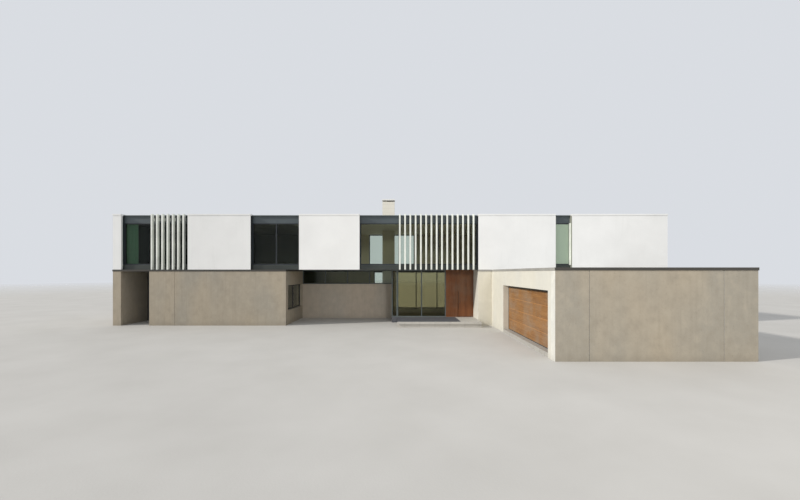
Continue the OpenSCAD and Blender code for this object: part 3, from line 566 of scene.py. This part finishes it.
def cloth(name, colour):
    """Plain-woven curtain cloth: warp and weft of about a millimetre, slubs, and a soft sheen."""
    f = Finish(name, roughness=0.92, specular=0.15)
    preset(f.shader, {"Sheen Weight": 0.25, "Sheen Roughness": 0.5})
    slubs = f.noise((0.012, 0.012, 0.30), detail=3.0)
    weft = f.noise((0.20, 0.20, 0.004), detail=2.0)
    base = f.mix(f.spread(slubs, 0.35, 0.7), tinted(colour, 0.86), tinted(colour, 1.14))
    f.colour(f.mix(f.spread(weft, 0.4, 0.7, 0.0, 0.25), base, tinted(colour, 0.7)))
    f.bump(f.noise((0.0012, 0.0012, 0.05), detail=1.0), 0.0004)
    f.bump(weft, 0.0004)
    return f.material


# Boards of the garage door's sections and of the front door
BOARDS_A_SECTION = 4
DOOR_BOARDS = 8
section_tops = [high.z for low, high in solids("garage_door")][:-1]
garage_board = (garage_high.z - garage_low.z) / (len(section_tops) + 1) / BOARDS_A_SECTION
door_board = (leaf_high.x - leaf_low.x) / DOOR_BOARDS

# Colours of mineral walls, each with its warm and its cool field
GRAY_STONE = ((0.37, 0.325, 0.255), (0.41, 0.35, 0.265), (0.345, 0.315, 0.26))
PORCH_STONE = ((0.46, 0.405, 0.33), (0.48, 0.41, 0.33), (0.44, 0.40, 0.34))
# The alcove's walls are painted near black, a painted shade for the deep shade inside the alcove
ALCOVE_SHADE = ((0.06, 0.06, 0.065), (0.07, 0.065, 0.06), (0.05, 0.055, 0.06))
# The cream render's own colour is painted darker than its front colour, a painted shade offsetting the sun
# on its sides
CREAM_RENDER = ((0.66, 0.64, 0.575), (0.61, 0.585, 0.50), (0.59, 0.575, 0.51))

# How far under the cap's top the painted shade of its posts and pot begins
CAP_SHADE_DEPTH = 0.10
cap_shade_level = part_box("chimney_cap")[1].z - CAP_SHADE_DEPTH

FINISHES = {
    # white render, with a darker tone painted on its faces towards the left, a painted shade against the
    # sun
    "white_render": render_coat("white_render", (0.84, 0.838, 0.82), left=(0.64, 0.635, 0.615)),
    "gray_stone": mineral_wall("gray_stone", *GRAY_STONE),
    "porch_stone": mineral_wall("porch_stone", *PORCH_STONE),
    # alcove walls painted near black as painted shade
    "alcove_lining": mineral_wall("alcove_lining", *ALCOVE_SHADE),
    # cream render: lighter on the faces towards the front, a painted light and shade by facing
    "cream_render": mineral_wall("cream_render", *CREAM_RENDER, tone=0.35, front=(0.74, 0.70, 0.61)),
    # chimney render: its faces towards the left are painted darker, a painted shade against the sun, and
    # its breast in the rooms takes a darker plaster than the other rooms, also a painted shade
    "chimney_render": render_coat("chimney_render", (0.80, 0.76, 0.66), mottle=0.05, stain_share=0.3,
                                  rooms=(0.56, 0.50, 0.35), courses=0.3, left=(0.62, 0.59, 0.51)),
    "soffit_render": soffit_coat("soffit_render", (0.62, 0.62, 0.60)),
    "paving_stone": paving("paving_stone", (0.40, 0.385, 0.35), (0.075, 0.08, 0.095), (0.9, 0.6)),
    "roof_membrane": membrane("roof_membrane", (0.17, 0.175, 0.18)),
    "pale_membrane": membrane("pale_membrane", (0.40, 0.40, 0.39)),
    "window_glass": pane("window_glass", (0.86, 0.89, 0.86), ior=1.22),
    "satin_glass": pane("satin_glass", (0.75, 0.86, 0.76), haze=((0.43, 0.535, 0.405), 0.93)),
    "slate_metal": coated_metal("slate_metal", (0.105, 0.125, 0.122)),
    "coping_metal": coated_metal("coping_metal", (0.055, 0.05, 0.042), sheet=2.4),
    # pale coping: a paler copy of the coping metal on the garage's side, a painted light for the sun and
    # bright reflections on that side
    "pale_coping": coated_metal("pale_coping", (0.31, 0.30, 0.275), sheet=2.4),
    "fin_metal": coated_metal("fin_metal", (0.80, 0.82, 0.755), roughness=0.42, dust=0.1),
    "joint_seal": rubber("joint_seal", (0.045, 0.045, 0.045)),
    "door_metal": brushed("door_metal", (0.09, 0.07, 0.055)),
    "curtain_cloth": cloth("curtain_cloth", (0.135, 0.255, 0.165)),
    "door_timber": timber(
        "door_timber",
        (0.195, 0.070, 0.022),
        dark=(0.112, 0.038, 0.012),
        grain=(0.05, 0.05, 0.9),
        board=door_board,
        board_axis=0,
        start=leaf_low.x,
    ),
    "garage_timber": timber(
        "garage_timber",
        (0.30, 0.150, 0.052),
        dark=(0.18, 0.082, 0.027),
        grain=(0.05, 1.1, 0.05),
        board=garage_board,
        board_axis=2,
        start=garage_low.z,
        ends=(1, 3.2, garage_low.y),
        pale_levels=section_tops,
        faded=0.6,
    ),
}

# Finishes of single nodes, in place of their slot's
NODE_FINISHES = {
    # the cap's posts and pot are painted near black, a painted shade for the shadow under the cap
    "chimney_cap": render_coat("cap_render", (0.86, 0.85, 0.81), shade_below=cap_shade_level),
    "slit_window_linings": coated_metal("gray_linings", (0.25, 0.255, 0.215)),
    "entrance_screen_glass": pane("entrance_glass", (0.59, 0.555, 0.41), ior=1.3),
    "upper_window_frames": coated_metal("dark_frames", (0.022, 0.028, 0.033)),
    "ground_window_frames": coated_metal("dark_ground_frames", (0.03, 0.034, 0.034)),
    # the sills take a darker tone than the slate metal, partly a painted shade
    "window_sills": coated_metal("dark_sills", (0.035, 0.042, 0.037), dust=0.1),
    # the fascias take a darker tone than the slate metal: partly their own dark paint, partly a painted
    # shade for the shade over the left windows
    "window_fascias": coated_metal("dark_fascias", (0.070, 0.087, 0.094), dust=0.1),
    # the garage front wall's faces towards the left take the cream render of the side wall, in its darker
    # tone painted against the sun
    "garage_front_wall": mineral_wall("garage_front_stone", *GRAY_STONE, left=CREAM_RENDER[0]),
}

for part in frame["record"]["subparts"]:
    mesh = nodes[part["node"]].data
    mesh.materials.clear()
    mesh.materials.append(NODE_FINISHES.get(part["node"], FINISHES[part["material_slot"]]))


# Mesh helpers

def axes_of(side):
    """The sign and the axis of a side such as -y, and the two axes across it."""
    sign = 1 if side[0] == "+" else -1
    axis = "xyz".index(side[1])
    u, v = (i for i in range(3) if i != axis)
    return sign, axis, u, v


class Form:
    """Points and faces gathered by short calls, then made into one piece."""

    def __init__(self):
        self.points = []
        self.faces = []

    def skin(self, rings, closed=False):
        """Joins each ring of points to the next, and the last to the first if closed, or else caps both."""
        size = len(rings[0])
        start = len(self.points)
        self.points += [tuple(point) for ring in rings for point in ring]
        for ring in range(len(rings) if closed else len(rings) - 1):
            a = start + ring * size
            b = start + (ring + 1) % len(rings) * size
            self.faces += [[a + i, a + (i + 1) % size, b + (i + 1) % size, b + i] for i in range(size)]
        if not closed:
            end = len(self.points)
            self.faces += [list(range(start, start + size)), list(range(end - size, end))]

    def frame_rings(self, low, high, side, places):
        """The outline of low..high seen from a side, for each inset drawn in and each depth raised."""
        sign, axis, u, v = axes_of(side)
        rings = []
        for inset, depth in places:
            ring = []
            for far_u, far_v in ((0, 0), (1, 0), (1, 1), (0, 1)):
                point = [0.0, 0.0, 0.0]
                point[axis] = (high if sign > 0 else low)[axis] + sign * depth
                point[u] = high[u] - inset if far_u else low[u] + inset
                point[v] = high[v] - inset if far_v else low[v] + inset
                ring.append(point)
            rings.append(ring)
        return rings

    def plate(self, low, high, side, chamfer=0.001):
        """A flat piece that fills low..high, chamfered round the side that shows."""
        axis = axes_of(side)[1]
        depth = abs(high[axis] - low[axis])
        self.skin(self.frame_rings(low, high, side, [(0, -depth), (0, -chamfer), (chamfer, 0)]))

    def loop(self, low, high, side, profile):
        """A profile of insets and depths swept round the outline of low..high."""
        rings = self.frame_rings(low, high, side, profile)
        self.skin([[ring[corner] for ring in rings] for corner in range(4)], closed=True)

    def level_loop(self, low, high, level, profile):
        """A profile swept round the plan of low..high at a level."""
        self.loop(Vector((low.x, low.y, level)), Vector((high.x, high.y, level)), "+z", profile)

    def turned(self, centre, side, profile, sides=16):
        """A profile of radii and heights turned about the axis through centre."""
        sign, axis, u, v = axes_of(side)
        rings = []
        for radius, height in profile:
            ring = []
            for i in range(sides):
                angle = i * math.tau / sides
                point = list(centre)
                point[axis] += sign * height
                point[u] += radius * math.cos(angle)
                point[v] += radius * math.sin(angle)
                ring.append(point)
            rings.append(ring)
        self.skin(rings)

    def bolt(self, centre, side, size=0.016):
        """A washer and a hexagon head with chamfered corners."""
        self.turned(centre, side, [(size, 0), (size, 0.08 * size), (0.95 * size, 0.12 * size)])
        head = [(0.6 * size, 0.1 * size), (0.6 * size, 0.5 * size), (0.5 * size, 0.58 * size)]
        self.turned(centre, side, head, sides=6)

    def rivet(self, centre, side, size=0.007):
        """A low domed head."""
        shares = ((1.0, 0.0), (1.0, 0.15), (0.8, 0.4), (0.4, 0.55))
        self.turned(centre, side, [(radius * size, height * size) for radius, height in shares], sides=12)

    def piece(self, name, slot, body=HOUSE, finish=None):
        """Makes the piece, with its faces turned outwards, and lets it ride on a body."""
        mesh = bpy.data.meshes.new(name)
        mesh.from_pydata(self.points, [], self.faces)
        work = bmesh.new()
        work.from_mesh(mesh)
        bmesh.ops.recalc_face_normals(work, faces=work.faces)
        work.to_mesh(mesh)
        work.free()
        piece = added(name, mesh)
        mesh.materials.append(finish or FINISHES[slot])
        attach(piece, body)
        return piece


def long_sides():
    """The outer side of each long face of the house, and what carries a place on the front to it."""
    yield "-y", lambda x, y, z: Vector((x, y, z))
    yield "+y", lambda x, y, z: Vector((x, Y_MIRROR - y, z))


def span(first, second):
    """Two opposite corners in any order as the lowest and the highest."""
    low = Vector([min(a, b) for a, b in zip(first, second)])
    high = Vector([max(a, b) for a, b in zip(first, second)])
    return low, high


def of_side(node, side):
    """The solids of a node that belong to the front, -y, or to the rear, +y."""
    return [box for box in solids(node) if (box[0].y < Y_MIRROR / 2) == (side == "-y")]


def outer_face(low, high, side):
    """Where on Y the outer face of low..high lies, carried to the front from the rear."""
    return low.y if side == "-y" else Y_MIRROR - high.y


# Trim of the windows and walls

GASKET = [(0, 0), (0.009, 0), (0.010, 0.003), (0.006, 0.008), (0, 0.009)]
GLAZED = ("upper_window_glass", "slit_window_glass", "ground_window_glass", "clerestory_glass",
          "entrance_screen_glass")


def pane_gaskets():
    """Rubber gaskets round both faces of every pane."""
    form = Form()
    for node in GLAZED:
        for low, high in solids(node):
            axis = "x" if high.x - low.x < high.y - low.y else "y"
            for sign in "+-":
                form.loop(low, high, sign + axis, GASKET)
    form.piece("pane_gaskets", "joint_seal")


STRIP_EVERY = 1.25
STRIP_W = 0.04
STRIP_T = 0.002
RIVET_IN = 0.03


def cover_strips():
    """Riveted strips over the joints of the sill bands and fascias."""
    for node, below, above in (("window_sills", 0.004, 0.016), ("window_fascias", 0.004, 0.004)):
        form = Form()
        for side, carry in long_sides():
            for low, high in of_side(node, side):
                face = outer_face(low, high, side)
                count = round((high.x - low.x) / STRIP_EVERY)
                bottom = low.z + below
                top = high.z - above
                for i in range(1, count):
                    x = low.x + (high.x - low.x) * i / count
                    first = carry(x - STRIP_W / 2, face - STRIP_T, bottom)
                    second = carry(x + STRIP_W / 2, face, top)
                    form.plate(*span(first, second), side)
                    for z in (bottom + RIVET_IN, top - RIVET_IN):
                        form.rivet(carry(x, face - STRIP_T, z), side)
        form.piece(node + "_strips", "slate_metal", finish=NODE_FINISHES[node])


SHEET_T = 0.003
ANGLE_LEG = 0.16


def slit_highlight_angles():
    """A pale angle on the right stile and the lining beside it, at each slit window: a painted highlight
    standing in for the sunlit edge of the stile.
    """
    form = Form()
    for side, carry in long_sides():
        stile = of_side("slit_window_glass", side)[-1][1].x
        frames = of_side("upper_window_frames", side)
        frame_low, frame_high = next(box for box in frames if box[0].x < stile < box[1].x)
        lining = max(low.x for low, high in of_side("slit_window_linings", side))
        face = outer_face(frame_low, frame_high, side)
        section = [(stile, face), (stile, face - SHEET_T), (lining - SHEET_T, face - SHEET_T),
                   (lining - SHEET_T, face - ANGLE_LEG), (lining, face - ANGLE_LEG), (lining, face)]
        form.skin([[carry(x, y, z) for x, y in section] for z in (frame_low.z, frame_high.z)])
    form.piece("slit_highlight_angles", "fin_metal")


# How far behind the panels' face a jamb's lining starts, and the same within END_REACH of the left end
LINING_IN = 0.004
END_LINING_IN = 0.14
END_REACH = 1.0


def jamb_linings():
    """Dark sheet on the panels' returns beside the wide windows."""
    form = Form()
    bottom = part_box("window_sills")[0].z
    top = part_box("window_fascias")[1].z
    for side, carry in long_sides():
        slits = of_side("slit_window_glass", side)
        for low, high in of_side("upper_window_frames", side):
            if any(low.x < slit[0].x < high.x for slit in slits):
                continue
            face = outer_face(low, high, side)
            for x, inner in ((low.x, low.x + SHEET_T), (high.x, high.x - SHEET_T)):
                at_end = abs(x - slab_low.x) < END_REACH
                start = Y_FRONT + (END_LINING_IN if at_end else LINING_IN)
                outline = [(start, bottom), (sill_nose, bottom), (sill_nose, low.z),
                           (face, low.z), (face, top), (start, top)]
                form.skin([[carry(place, y, z) for y, z in outline] for place in (x, inner)])
    form.piece("jamb_linings", "slate_metal", finish=NODE_FINISHES["upper_window_frames"])


CLEAT_W = 0.072
CLEAT_H = 0.20
CLEAT_T = 0.006
CLEAT_UP = 0.12
WEB_T = 0.008
WEB_IN = 0.03
BOLT_OUT = 0.022
BOLT_SIZE = 0.009


def fin_cleats():
    """Bolted brackets that hold the fins' backs to the fascia."""
    form = Form()
    face = min(low.y for low, high in solids("window_fascias"))
    front = face - CLEAT_T
    bottom = roof_low.z + CLEAT_UP
    top = bottom + CLEAT_H
    levels = (bottom + WEB_IN, top - WEB_IN)
    for node in ("left_fins", "right_fins"):
        for low, high in solids(node):
            x = (low.x + high.x) / 2
            form.plate((x - CLEAT_W / 2, front, bottom), (x + CLEAT_W / 2, face, top), "-y")
            form.plate((x - WEB_T / 2, high.y, levels[0]), (x + WEB_T / 2, front, levels[1]), "+x")
            for z in levels:
                for out in (-BOLT_OUT, BOLT_OUT):
                    form.bolt((x + out, front, z), "-y", BOLT_SIZE)
    form.piece("fin_cleats", "fin_metal")


BEAD_W = 0.008
BEAD_PROUD = 0.0015
BEAD_CHAMFER = 0.0005


def render_beads():
    """Stop beads along the lower edges and the upright corners of the rendered panels."""
    form = Form()
    proud = Y_FRONT - BEAD_PROUD
    for side, carry in long_sides():
        for low, high in solids("front_panels" if side == "-y" else "rear_panels"):
            foot = low.z + BEAD_W
            edge = span(carry(low.x, proud, low.z), carry(high.x, Y_FRONT, foot))
            form.plate(*edge, side, BEAD_CHAMFER)
            for x in (low.x, high.x - BEAD_W):
                corner = span(carry(x, proud, foot), carry(x + BEAD_W, Y_FRONT, high.z))
                form.plate(*corner, side, BEAD_CHAMFER)
    form.piece("render_beads", "white_render")


DRIP_BACK = 0.03
DRIP_W = 0.018
DRIP_H = 0.012


def soffit_drip():
    """A drip bead under the soffit, behind the edge of the upper storey over the porch."""
    form = Form()
    y = slab_low.y + DRIP_BACK
    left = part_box("left_return_wall")[1].x
    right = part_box("entrance_pier")[0].x
    form.plate((left, y, STOREY - DRIP_H), (right, y + DRIP_W, STOREY), "-z", chamfer=0.003)
    form.piece("soffit_drip", "joint_seal")


pane_gaskets()
cover_strips()
slit_highlight_angles()
jamb_linings()
fin_cleats()
render_beads()
soffit_drip()


# Roof trim

LAP_W = 0.05
LAP_T = 0.003
LAP_CHAMFER = 0.002
UPSTAND_FOOT = 0.09
UPSTAND = [(0, 0), (UPSTAND_FOOT, 0), (0.088, 0.004), (0.02, 0.012),
           (0.006, 0.03), (0.005, 0.10), (0.008, 0.112), (0, 0.114)]
ROOF_SHEETS = 22
GARAGE_SHEETS = 6


def roof_laps():
    """Welded laps between the membrane's sheets, and its upstand along the parapets and the chimney."""
    form = Form()
    level = roof_high.z
    first = roof_low.y + UPSTAND_FOOT
    last = roof_high.y - UPSTAND_FOOT
    for i in range(1, ROOF_SHEETS):
        x = roof_low.x + (roof_high.x - roof_low.x) * i / ROOF_SHEETS
        form.plate((x, first, level), (x + LAP_W, last, level + LAP_T), "+z", LAP_CHAMFER)
    form.level_loop(roof_low, roof_high, level, UPSTAND)
    form.level_loop(*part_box("chimney"), level, [(-inset, depth) for inset, depth in UPSTAND])
    form.piece("roof_laps", "roof_membrane")


OUTLETS_X = (-12.9, -5.2, 5.2, 12.9)
OUTLET_RING = [(0.17, 0), (0.17, 0.004), (0.155, 0.008), (0.12, 0.009)]
OUTLET_CAP = [(0.03, 0.06), (0.03, 0.092), (0.02, 0.098)]
BARS = 12
BAR_STEPS = 6
BAR_HALF = 0.004
BAR_LEAN = 0.003
DOME_REACH = 0.115
DOME_RISE = 0.082
DOME_HUB = 0.015
DOME_FOOT = 0.006


def outlet_bar(form, centre, angle):
    """One bar of an outlet's dome, bent from the ring up to the cap."""
    out = Vector((math.cos(angle), math.sin(angle), 0))
    across = Vector((-math.sin(angle), math.cos(angle), 0))
    up = Vector((0, 0, 1))
    rings = []
    for step in range(BAR_STEPS + 1):
        turn = step / BAR_STEPS * math.pi / 2
        radius = DOME_REACH * math.cos(turn) + DOME_HUB
        height = DOME_RISE * math.sin(turn) + DOME_FOOT
        middle = centre + out * radius + up * height
        wide = across * BAR_HALF
        tall = up * BAR_HALF + out * BAR_LEAN
        rings.append([middle + wide * a + tall * b for a, b in ((-1, -1), (1, -1), (1, 1), (-1, 1))])
    form.skin(rings)


def roof_outlets():
    """Domed gratings over the four rainwater outlets."""
    form = Form()
    for x in OUTLETS_X:
        centre = Vector((x, Y_MIRROR / 2, roof_high.z))
        form.turned(centre, "+z", OUTLET_RING, sides=32)
        form.turned(centre, "+z", OUTLET_CAP)
        for bar in range(BARS):
            outlet_bar(form, centre, bar * math.tau / BARS)
    form.piece("roof_outlets", "slate_metal")


CLOSER_T = 0.02
CLOSER_RIVETS = 9
CLOSER_RIVET_UP = 0.085
UNDER_CLOSER = 0.006


def garage_roof_laps():
    """Laps and upstands of the garage roof, as high as the gap under the upper storey lets them be."""
    form = Form()
    low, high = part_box("garage_roof")
    level = high.z
    left = low.x + UPSTAND_FOOT
    right = high.x - UPSTAND_FOOT
    for i in range(1, GARAGE_SHEETS):
        y = low.y + (Y_FRONT - low.y) * i / GARAGE_SHEETS
        form.plate((left, y, level), (right, y + LAP_W, level + LAP_T), "+z", LAP_CHAMFER)
    top = STOREY - level - UNDER_CLOSER
    upstand = [(inset, min(depth, top)) for inset, depth in UPSTAND[:-2]] + [(0.005, top), (0, top)]
    back = Vector((high.x, slab_low.y - CLOSER_T, level))
    form.level_loop(low, back, level, upstand)
    form.piece("garage_roof_laps", "pale_membrane")


def roof_edge_closer():
    """A riveted metal strip between the garage roof and the upper storey's edge."""
    form = Form()
    low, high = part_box("garage_roof")
    front = slab_low.y - CLOSER_T
    form.plate((low.x, front, high.z), (high.x, slab_low.y, STOREY), "-y", chamfer=0.002)
    for i in range(CLOSER_RIVETS):
        x = low.x + (i + 0.5) * (high.x - low.x) / CLOSER_RIVETS
        form.rivet((x, front, high.z + CLOSER_RIVET_UP), "-y")
    form.piece("roof_edge_closer", "slate_metal")


FLASHING_UP = 0.108
FLASHING = [(0, 0), (-0.011, 0.002), (-0.011, 0.068), (-0.009, 0.070), (0, 0.070)]


def chimney_flashing():
    """A metal collar above the chimney's membrane upstand."""
    form = Form()
    form.level_loop(*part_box("chimney"), roof_high.z + FLASHING_UP, FLASHING)
    form.piece("chimney_flashing", "slate_metal")


roof_laps()
roof_outlets()
garage_roof_laps()
roof_edge_closer()
chimney_flashing()


# Trim of the garage door and the front door

BULB = ((0.004, 0), (0.004, 0.028), (-0.004, 0.030), (-0.012, 0.020), (-0.014, 0.008), (-0.010, 0))
LIP = ((-0.016, 0), (-0.002, 0), (-0.002, 1), (-0.006, 1.1), (-0.016, 0.3))
SEAL_END_IN = 0.001
LIP_REACH = 0.016
LIP_ABOVE_FLOOR = 0.032
LIP_BELOW_HEAD = 0.12


def garage_seals():
    """Rubber strips at the garage door's foot and along its sides."""
    form = Form()
    reveal_low, reveal_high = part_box("garage_door_frame")
    face = garage_low.x
    floor = reveal_low.z
    ends = (garage_low.y + SEAL_END_IN, garage_high.y - SEAL_END_IN)
    form.skin([[(face + out, y, floor + up) for out, up in BULB] for y in ends])
    levels = (floor + LIP_ABOVE_FLOOR, reveal_high.z - LIP_BELOW_HEAD)
    for y, tip in ((reveal_low.y, LIP_REACH), (reveal_high.y, -LIP_REACH)):
        form.skin([[(face + out, y + tip * share, z) for out, share in LIP] for z in levels])
    form.piece("garage_door_seals", "joint_seal")


THRESHOLD_IN = 0.004
PLATE_TOP = 0.0025
RIB_TOP = 0.005
RIB_STEP = 0.011
RIB_CLEAR = 0.002
RIB = ((0, PLATE_TOP), (0.002, RIB_TOP), (0.006, RIB_TOP), (0.008, PLATE_TOP))
KEY_IN = 0.19
KEY_UP = 1.0
KEY_PLATE = [(0.026, 0), (0.026, 0.004), (0.023, 0.007), (0.010, 0.007), (0.009, 0.003)]
KEY_CYLINDER = [(0.0085, 0.003), (0.0085, 0.0045), (0.007, 0.006)]


def door_trim():
    """Ribbed threshold, key plate and key cylinder of the front door."""
    frame_low, frame_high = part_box("door_frame")
    floor = frame_low.z
    first = frame_low.y + THRESHOLD_IN
    last = frame_high.y - THRESHOLD_IN
    ribs = [(first, 0.0), (first, PLATE_TOP)]
    for i in range(int((last - first - 2 * RIB_CLEAR) / RIB_STEP)):
        start = first + RIB_CLEAR + i * RIB_STEP
        ribs += [(start + y, z) for y, z in RIB]
    ribs += [(last, PLATE_TOP), (last, 0.0)]
    threshold = Form()
    threshold.skin([[(x, y, floor + z) for y, z in ribs] for x in (leaf_low.x, leaf_high.x)])
    threshold.piece("door_threshold", "door_metal")
    centre = (leaf_low.x + KEY_IN, leaf_low.y, floor + KEY_UP)
    plate = Form()
    plate.turned(centre, "-y", KEY_PLATE, sides=32)
    plate.piece("key_plate", "door_metal", DOOR)
    cylinder = Form()
    cylinder.turned(centre, "-y", KEY_CYLINDER, sides=24)
    cylinder.piece("key_cylinder", "fin_metal", DOOR)


garage_seals()
door_trim()


# Curtain

FOLDS = 8
FOLD_STEPS = 20
CLOTH_ROWS = 40
FOLD_DEPTH = 0.036
FOLD_SPREAD = 0.004
EASE = 0.010
SWAY = 0.006
RIPPLE = 0.003
SLACK = 0.10
HEM_ABOVE = 0.012
HEAD_BELOW = 0.022
EDGE_IN = 0.006
GLIDER_HALF = 0.003
GLIDER_END_IN = 0.004
GLIDER_FOOT = 0.006
GLIDER_IN_RAIL = 0.008
HOOK_HALF = 0.0015
HOOK_FOOT = 0.012
HOOK_PROUD = 0.002


def fold_place(turn, drop):
    """The cloth's shift on X and place on Y at a turn of the pleats and a share of the drop."""
    fold = int(min(turn, FOLDS - 0.001))
    across = turn / FOLDS
    sway = drop * (SWAY * math.sin(fold * 2.3 + 0.7) + RIPPLE * math.sin(turn * 1.7 + drop * 3.0))
    ease = EASE * math.sin(math.tau * 2 * turn) * (0.4 + 0.6 * drop)
    slack = 1.0 - SLACK * drop * (0.5 + 0.5 * math.sin(fold * 1.9))
    depth = (FOLD_DEPTH + FOLD_SPREAD * drop) * slack
    return ease + sway * math.sin(math.pi * across), -depth * math.cos(math.tau * turn)


def curtain_gliders(left, right, middle, top):
    """Gliders in the rail, one at each end of a fold, with the hooks that hold the cloth."""
    form = Form()
    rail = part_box("curtain_rail")[0].z
    foot = top - GLIDER_FOOT
    back = middle + GLIDER_HALF
    for fold in range(FOLDS + 1):
        x = left + (right - left) * fold / FOLDS
        x = min(max(x, left + GLIDER_END_IN), right - GLIDER_END_IN)
        body_low = (x - GLIDER_HALF, middle - GLIDER_HALF, foot)
        form.plate(body_low, (x + GLIDER_HALF, back, rail + GLIDER_IN_RAIL), "+x")
        hook_low = (x - HOOK_HALF, middle - FOLD_DEPTH - HOOK_PROUD, top - HOOK_FOOT)
        form.plate(hook_low, (x + HOOK_HALF, back, foot), "+x", chamfer=0.0005)
    return form.piece("curtain_gliders", "fin_metal")


def curtain():
    """A pleated cloth drawn to the left end of its rail, on gliders."""
    low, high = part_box("curtain")
    rail_low, rail_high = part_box("curtain_rail")
    middle = (rail_low.y + rail_high.y) / 2
    top = high.z - HEAD_BELOW
    bottom = low.z + HEM_ABOVE
    left = low.x + EDGE_IN
    right = high.x - EDGE_IN
    columns = FOLDS * FOLD_STEPS
    points = []
    for row in range(CLOTH_ROWS + 1):
        drop = row / CLOTH_ROWS
        for column in range(columns + 1):
            shift, depth = fold_place(column / FOLD_STEPS, drop)
            x = left + (right - left) * column / columns + shift
            points.append((x, middle + depth, top + (bottom - top) * drop))
    corners = [row * (columns + 1) + column for row in range(CLOTH_ROWS) for column in range(columns)]
    mesh = bpy.data.meshes.new("pleated_curtain")
    mesh.from_pydata(points, [], [[a, a + 1, a + columns + 2, a + columns + 1] for a in corners])
    for polygon in mesh.polygons:
        polygon.use_smooth = True
    piece = added("pleated_curtain", mesh)
    mesh.materials.append(FINISHES["curtain_cloth"])
    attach(piece, HOUSE)
    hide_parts("curtain")
    gliders = curtain_gliders(left, right, middle, top)


curtain()


# Floor, light and camera, with the frame and its vanishing point in pixels

FRAME_PX = (800, 500)
FOCAL_PX = 378.0
VANISHING_PX = (399.4, 272.8)
CAMERA_BACK = 23.625
CAMERA_SIDE = 0.575
EYE_HEIGHT = 3.3
SENSOR = 36.0

camera_data = bpy.data.cameras.new("camera")
camera_data.sensor_width = SENSOR
camera_data.lens = FOCAL_PX / FRAME_PX[0] * SENSOR
camera_data.shift_x = (FRAME_PX[0] / 2 - VANISHING_PX[0]) / FRAME_PX[0]
camera_data.shift_y = (VANISHING_PX[1] - FRAME_PX[1] / 2) / FRAME_PX[0]
camera_data.clip_end = 1000.0
camera = added("camera", camera_data)
camera.location = (CAMERA_SIDE, Y_FRONT - CAMERA_BACK, EYE_HEIGHT)
camera.rotation_euler = (math.radians(90), 0, 0)
bpy.context.scene.camera = camera

# The sun stands to the left, a little before the house, and a far lamp fills in from the right.
SUN_SIDE = math.radians(74)
SUN_UP = math.radians(26.5)
SUN_WIDTH = math.radians(3)
SUN_STRENGTH = 2.9
SUN_COLOUR = (1.0, 0.965, 0.91)
FILL_CONE = math.radians(40)
FILL_SOFT_SHARE = 0.85
FILL_RADIUS = 3.0
FILL_POWER = 18500
FILL_COLOUR = (1.0, 0.98, 0.94)
SKY_STRENGTH = 0.82
SKY_COLOUR = (0.85, 0.88, 0.93, 1.0)
FAR_LAMP = Vector((10.0, -48.0, 15.0))
LIT_PLACE = Vector((7.0, Y_FRONT, 3.0))
towards_sun = Vector((
    -math.sin(SUN_SIDE) * math.cos(SUN_UP),
    -math.cos(SUN_SIDE) * math.cos(SUN_UP),
    math.sin(SUN_UP),
))


def light(name, kind, energy, colour, towards, location=(0, 0, 0)):
    """A lamp whose light comes from the direction towards."""
    data = bpy.data.lights.new(name, kind)
    data.energy = energy
    data.color = colour
    lamp = added(name, data)
    lamp.location = location
    lamp.rotation_mode = "QUATERNION"
    lamp.rotation_quaternion = Vector(towards).to_track_quat("Z", "Y")
    return lamp


sun = light("sun", "SUN", SUN_STRENGTH, SUN_COLOUR, towards_sun)
sun.data.angle = SUN_WIDTH
fill = light("fill", "SPOT", FILL_POWER, FILL_COLOUR, FAR_LAMP - LIT_PLACE, FAR_LAMP)
fill.data.spot_size = FILL_CONE
fill.data.spot_blend = FILL_SOFT_SHARE
fill.data.shadow_soft_size = FILL_RADIUS
fill.visible_glossy = False

world = bpy.data.worlds.new("studio")
bpy.context.scene.world = world
world.use_nodes = True
preset(world.node_tree.nodes["Background"], {"Color": SKY_COLOUR, "Strength": SKY_STRENGTH})

FLOOR_REACH = 150.0
FLOOR_FADES_FROM = 60.0
FLOOR_STEPS = 96


def pale_floor():
    """A wide plain floor that fades out towards its rim, so that it ends in no hard line."""
    points = [(0.0, 0.0, 0.0)]
    for i in range(FLOOR_STEPS):
        angle = i * math.tau / FLOOR_STEPS
        points.append((FLOOR_REACH * math.cos(angle), FLOOR_REACH * math.sin(angle), 0.0))
    faces = [(0, 1 + i, 1 + (i + 1) % FLOOR_STEPS) for i in range(FLOOR_STEPS)]
    mesh = bpy.data.meshes.new("floor")
    mesh.from_pydata(points, [], faces)
    floor = added("floor", mesh)
    f = Finish("floor", roughness=0.9, specular=0.2)
    f.colour(f.mix(f.evened(f.noise(2.5)), (0.50, 0.485, 0.455), (0.54, 0.525, 0.495)))
    f.bump(f.noise(0.05, detail=3.0), 0.002)
    length = f.node("VectorMath")
    length.operation = "LENGTH"
    f.feed(length.inputs[0], f.place)
    fade = f.spread(length.outputs["Value"], FLOOR_FADES_FROM, FLOOR_REACH, 1.0, 0.0)
    f.feed(f.shader.inputs["Alpha"], fade)
    mesh.materials.append(f.material)


pale_floor()
bpy.context.scene.view_settings.view_transform = "Standard"
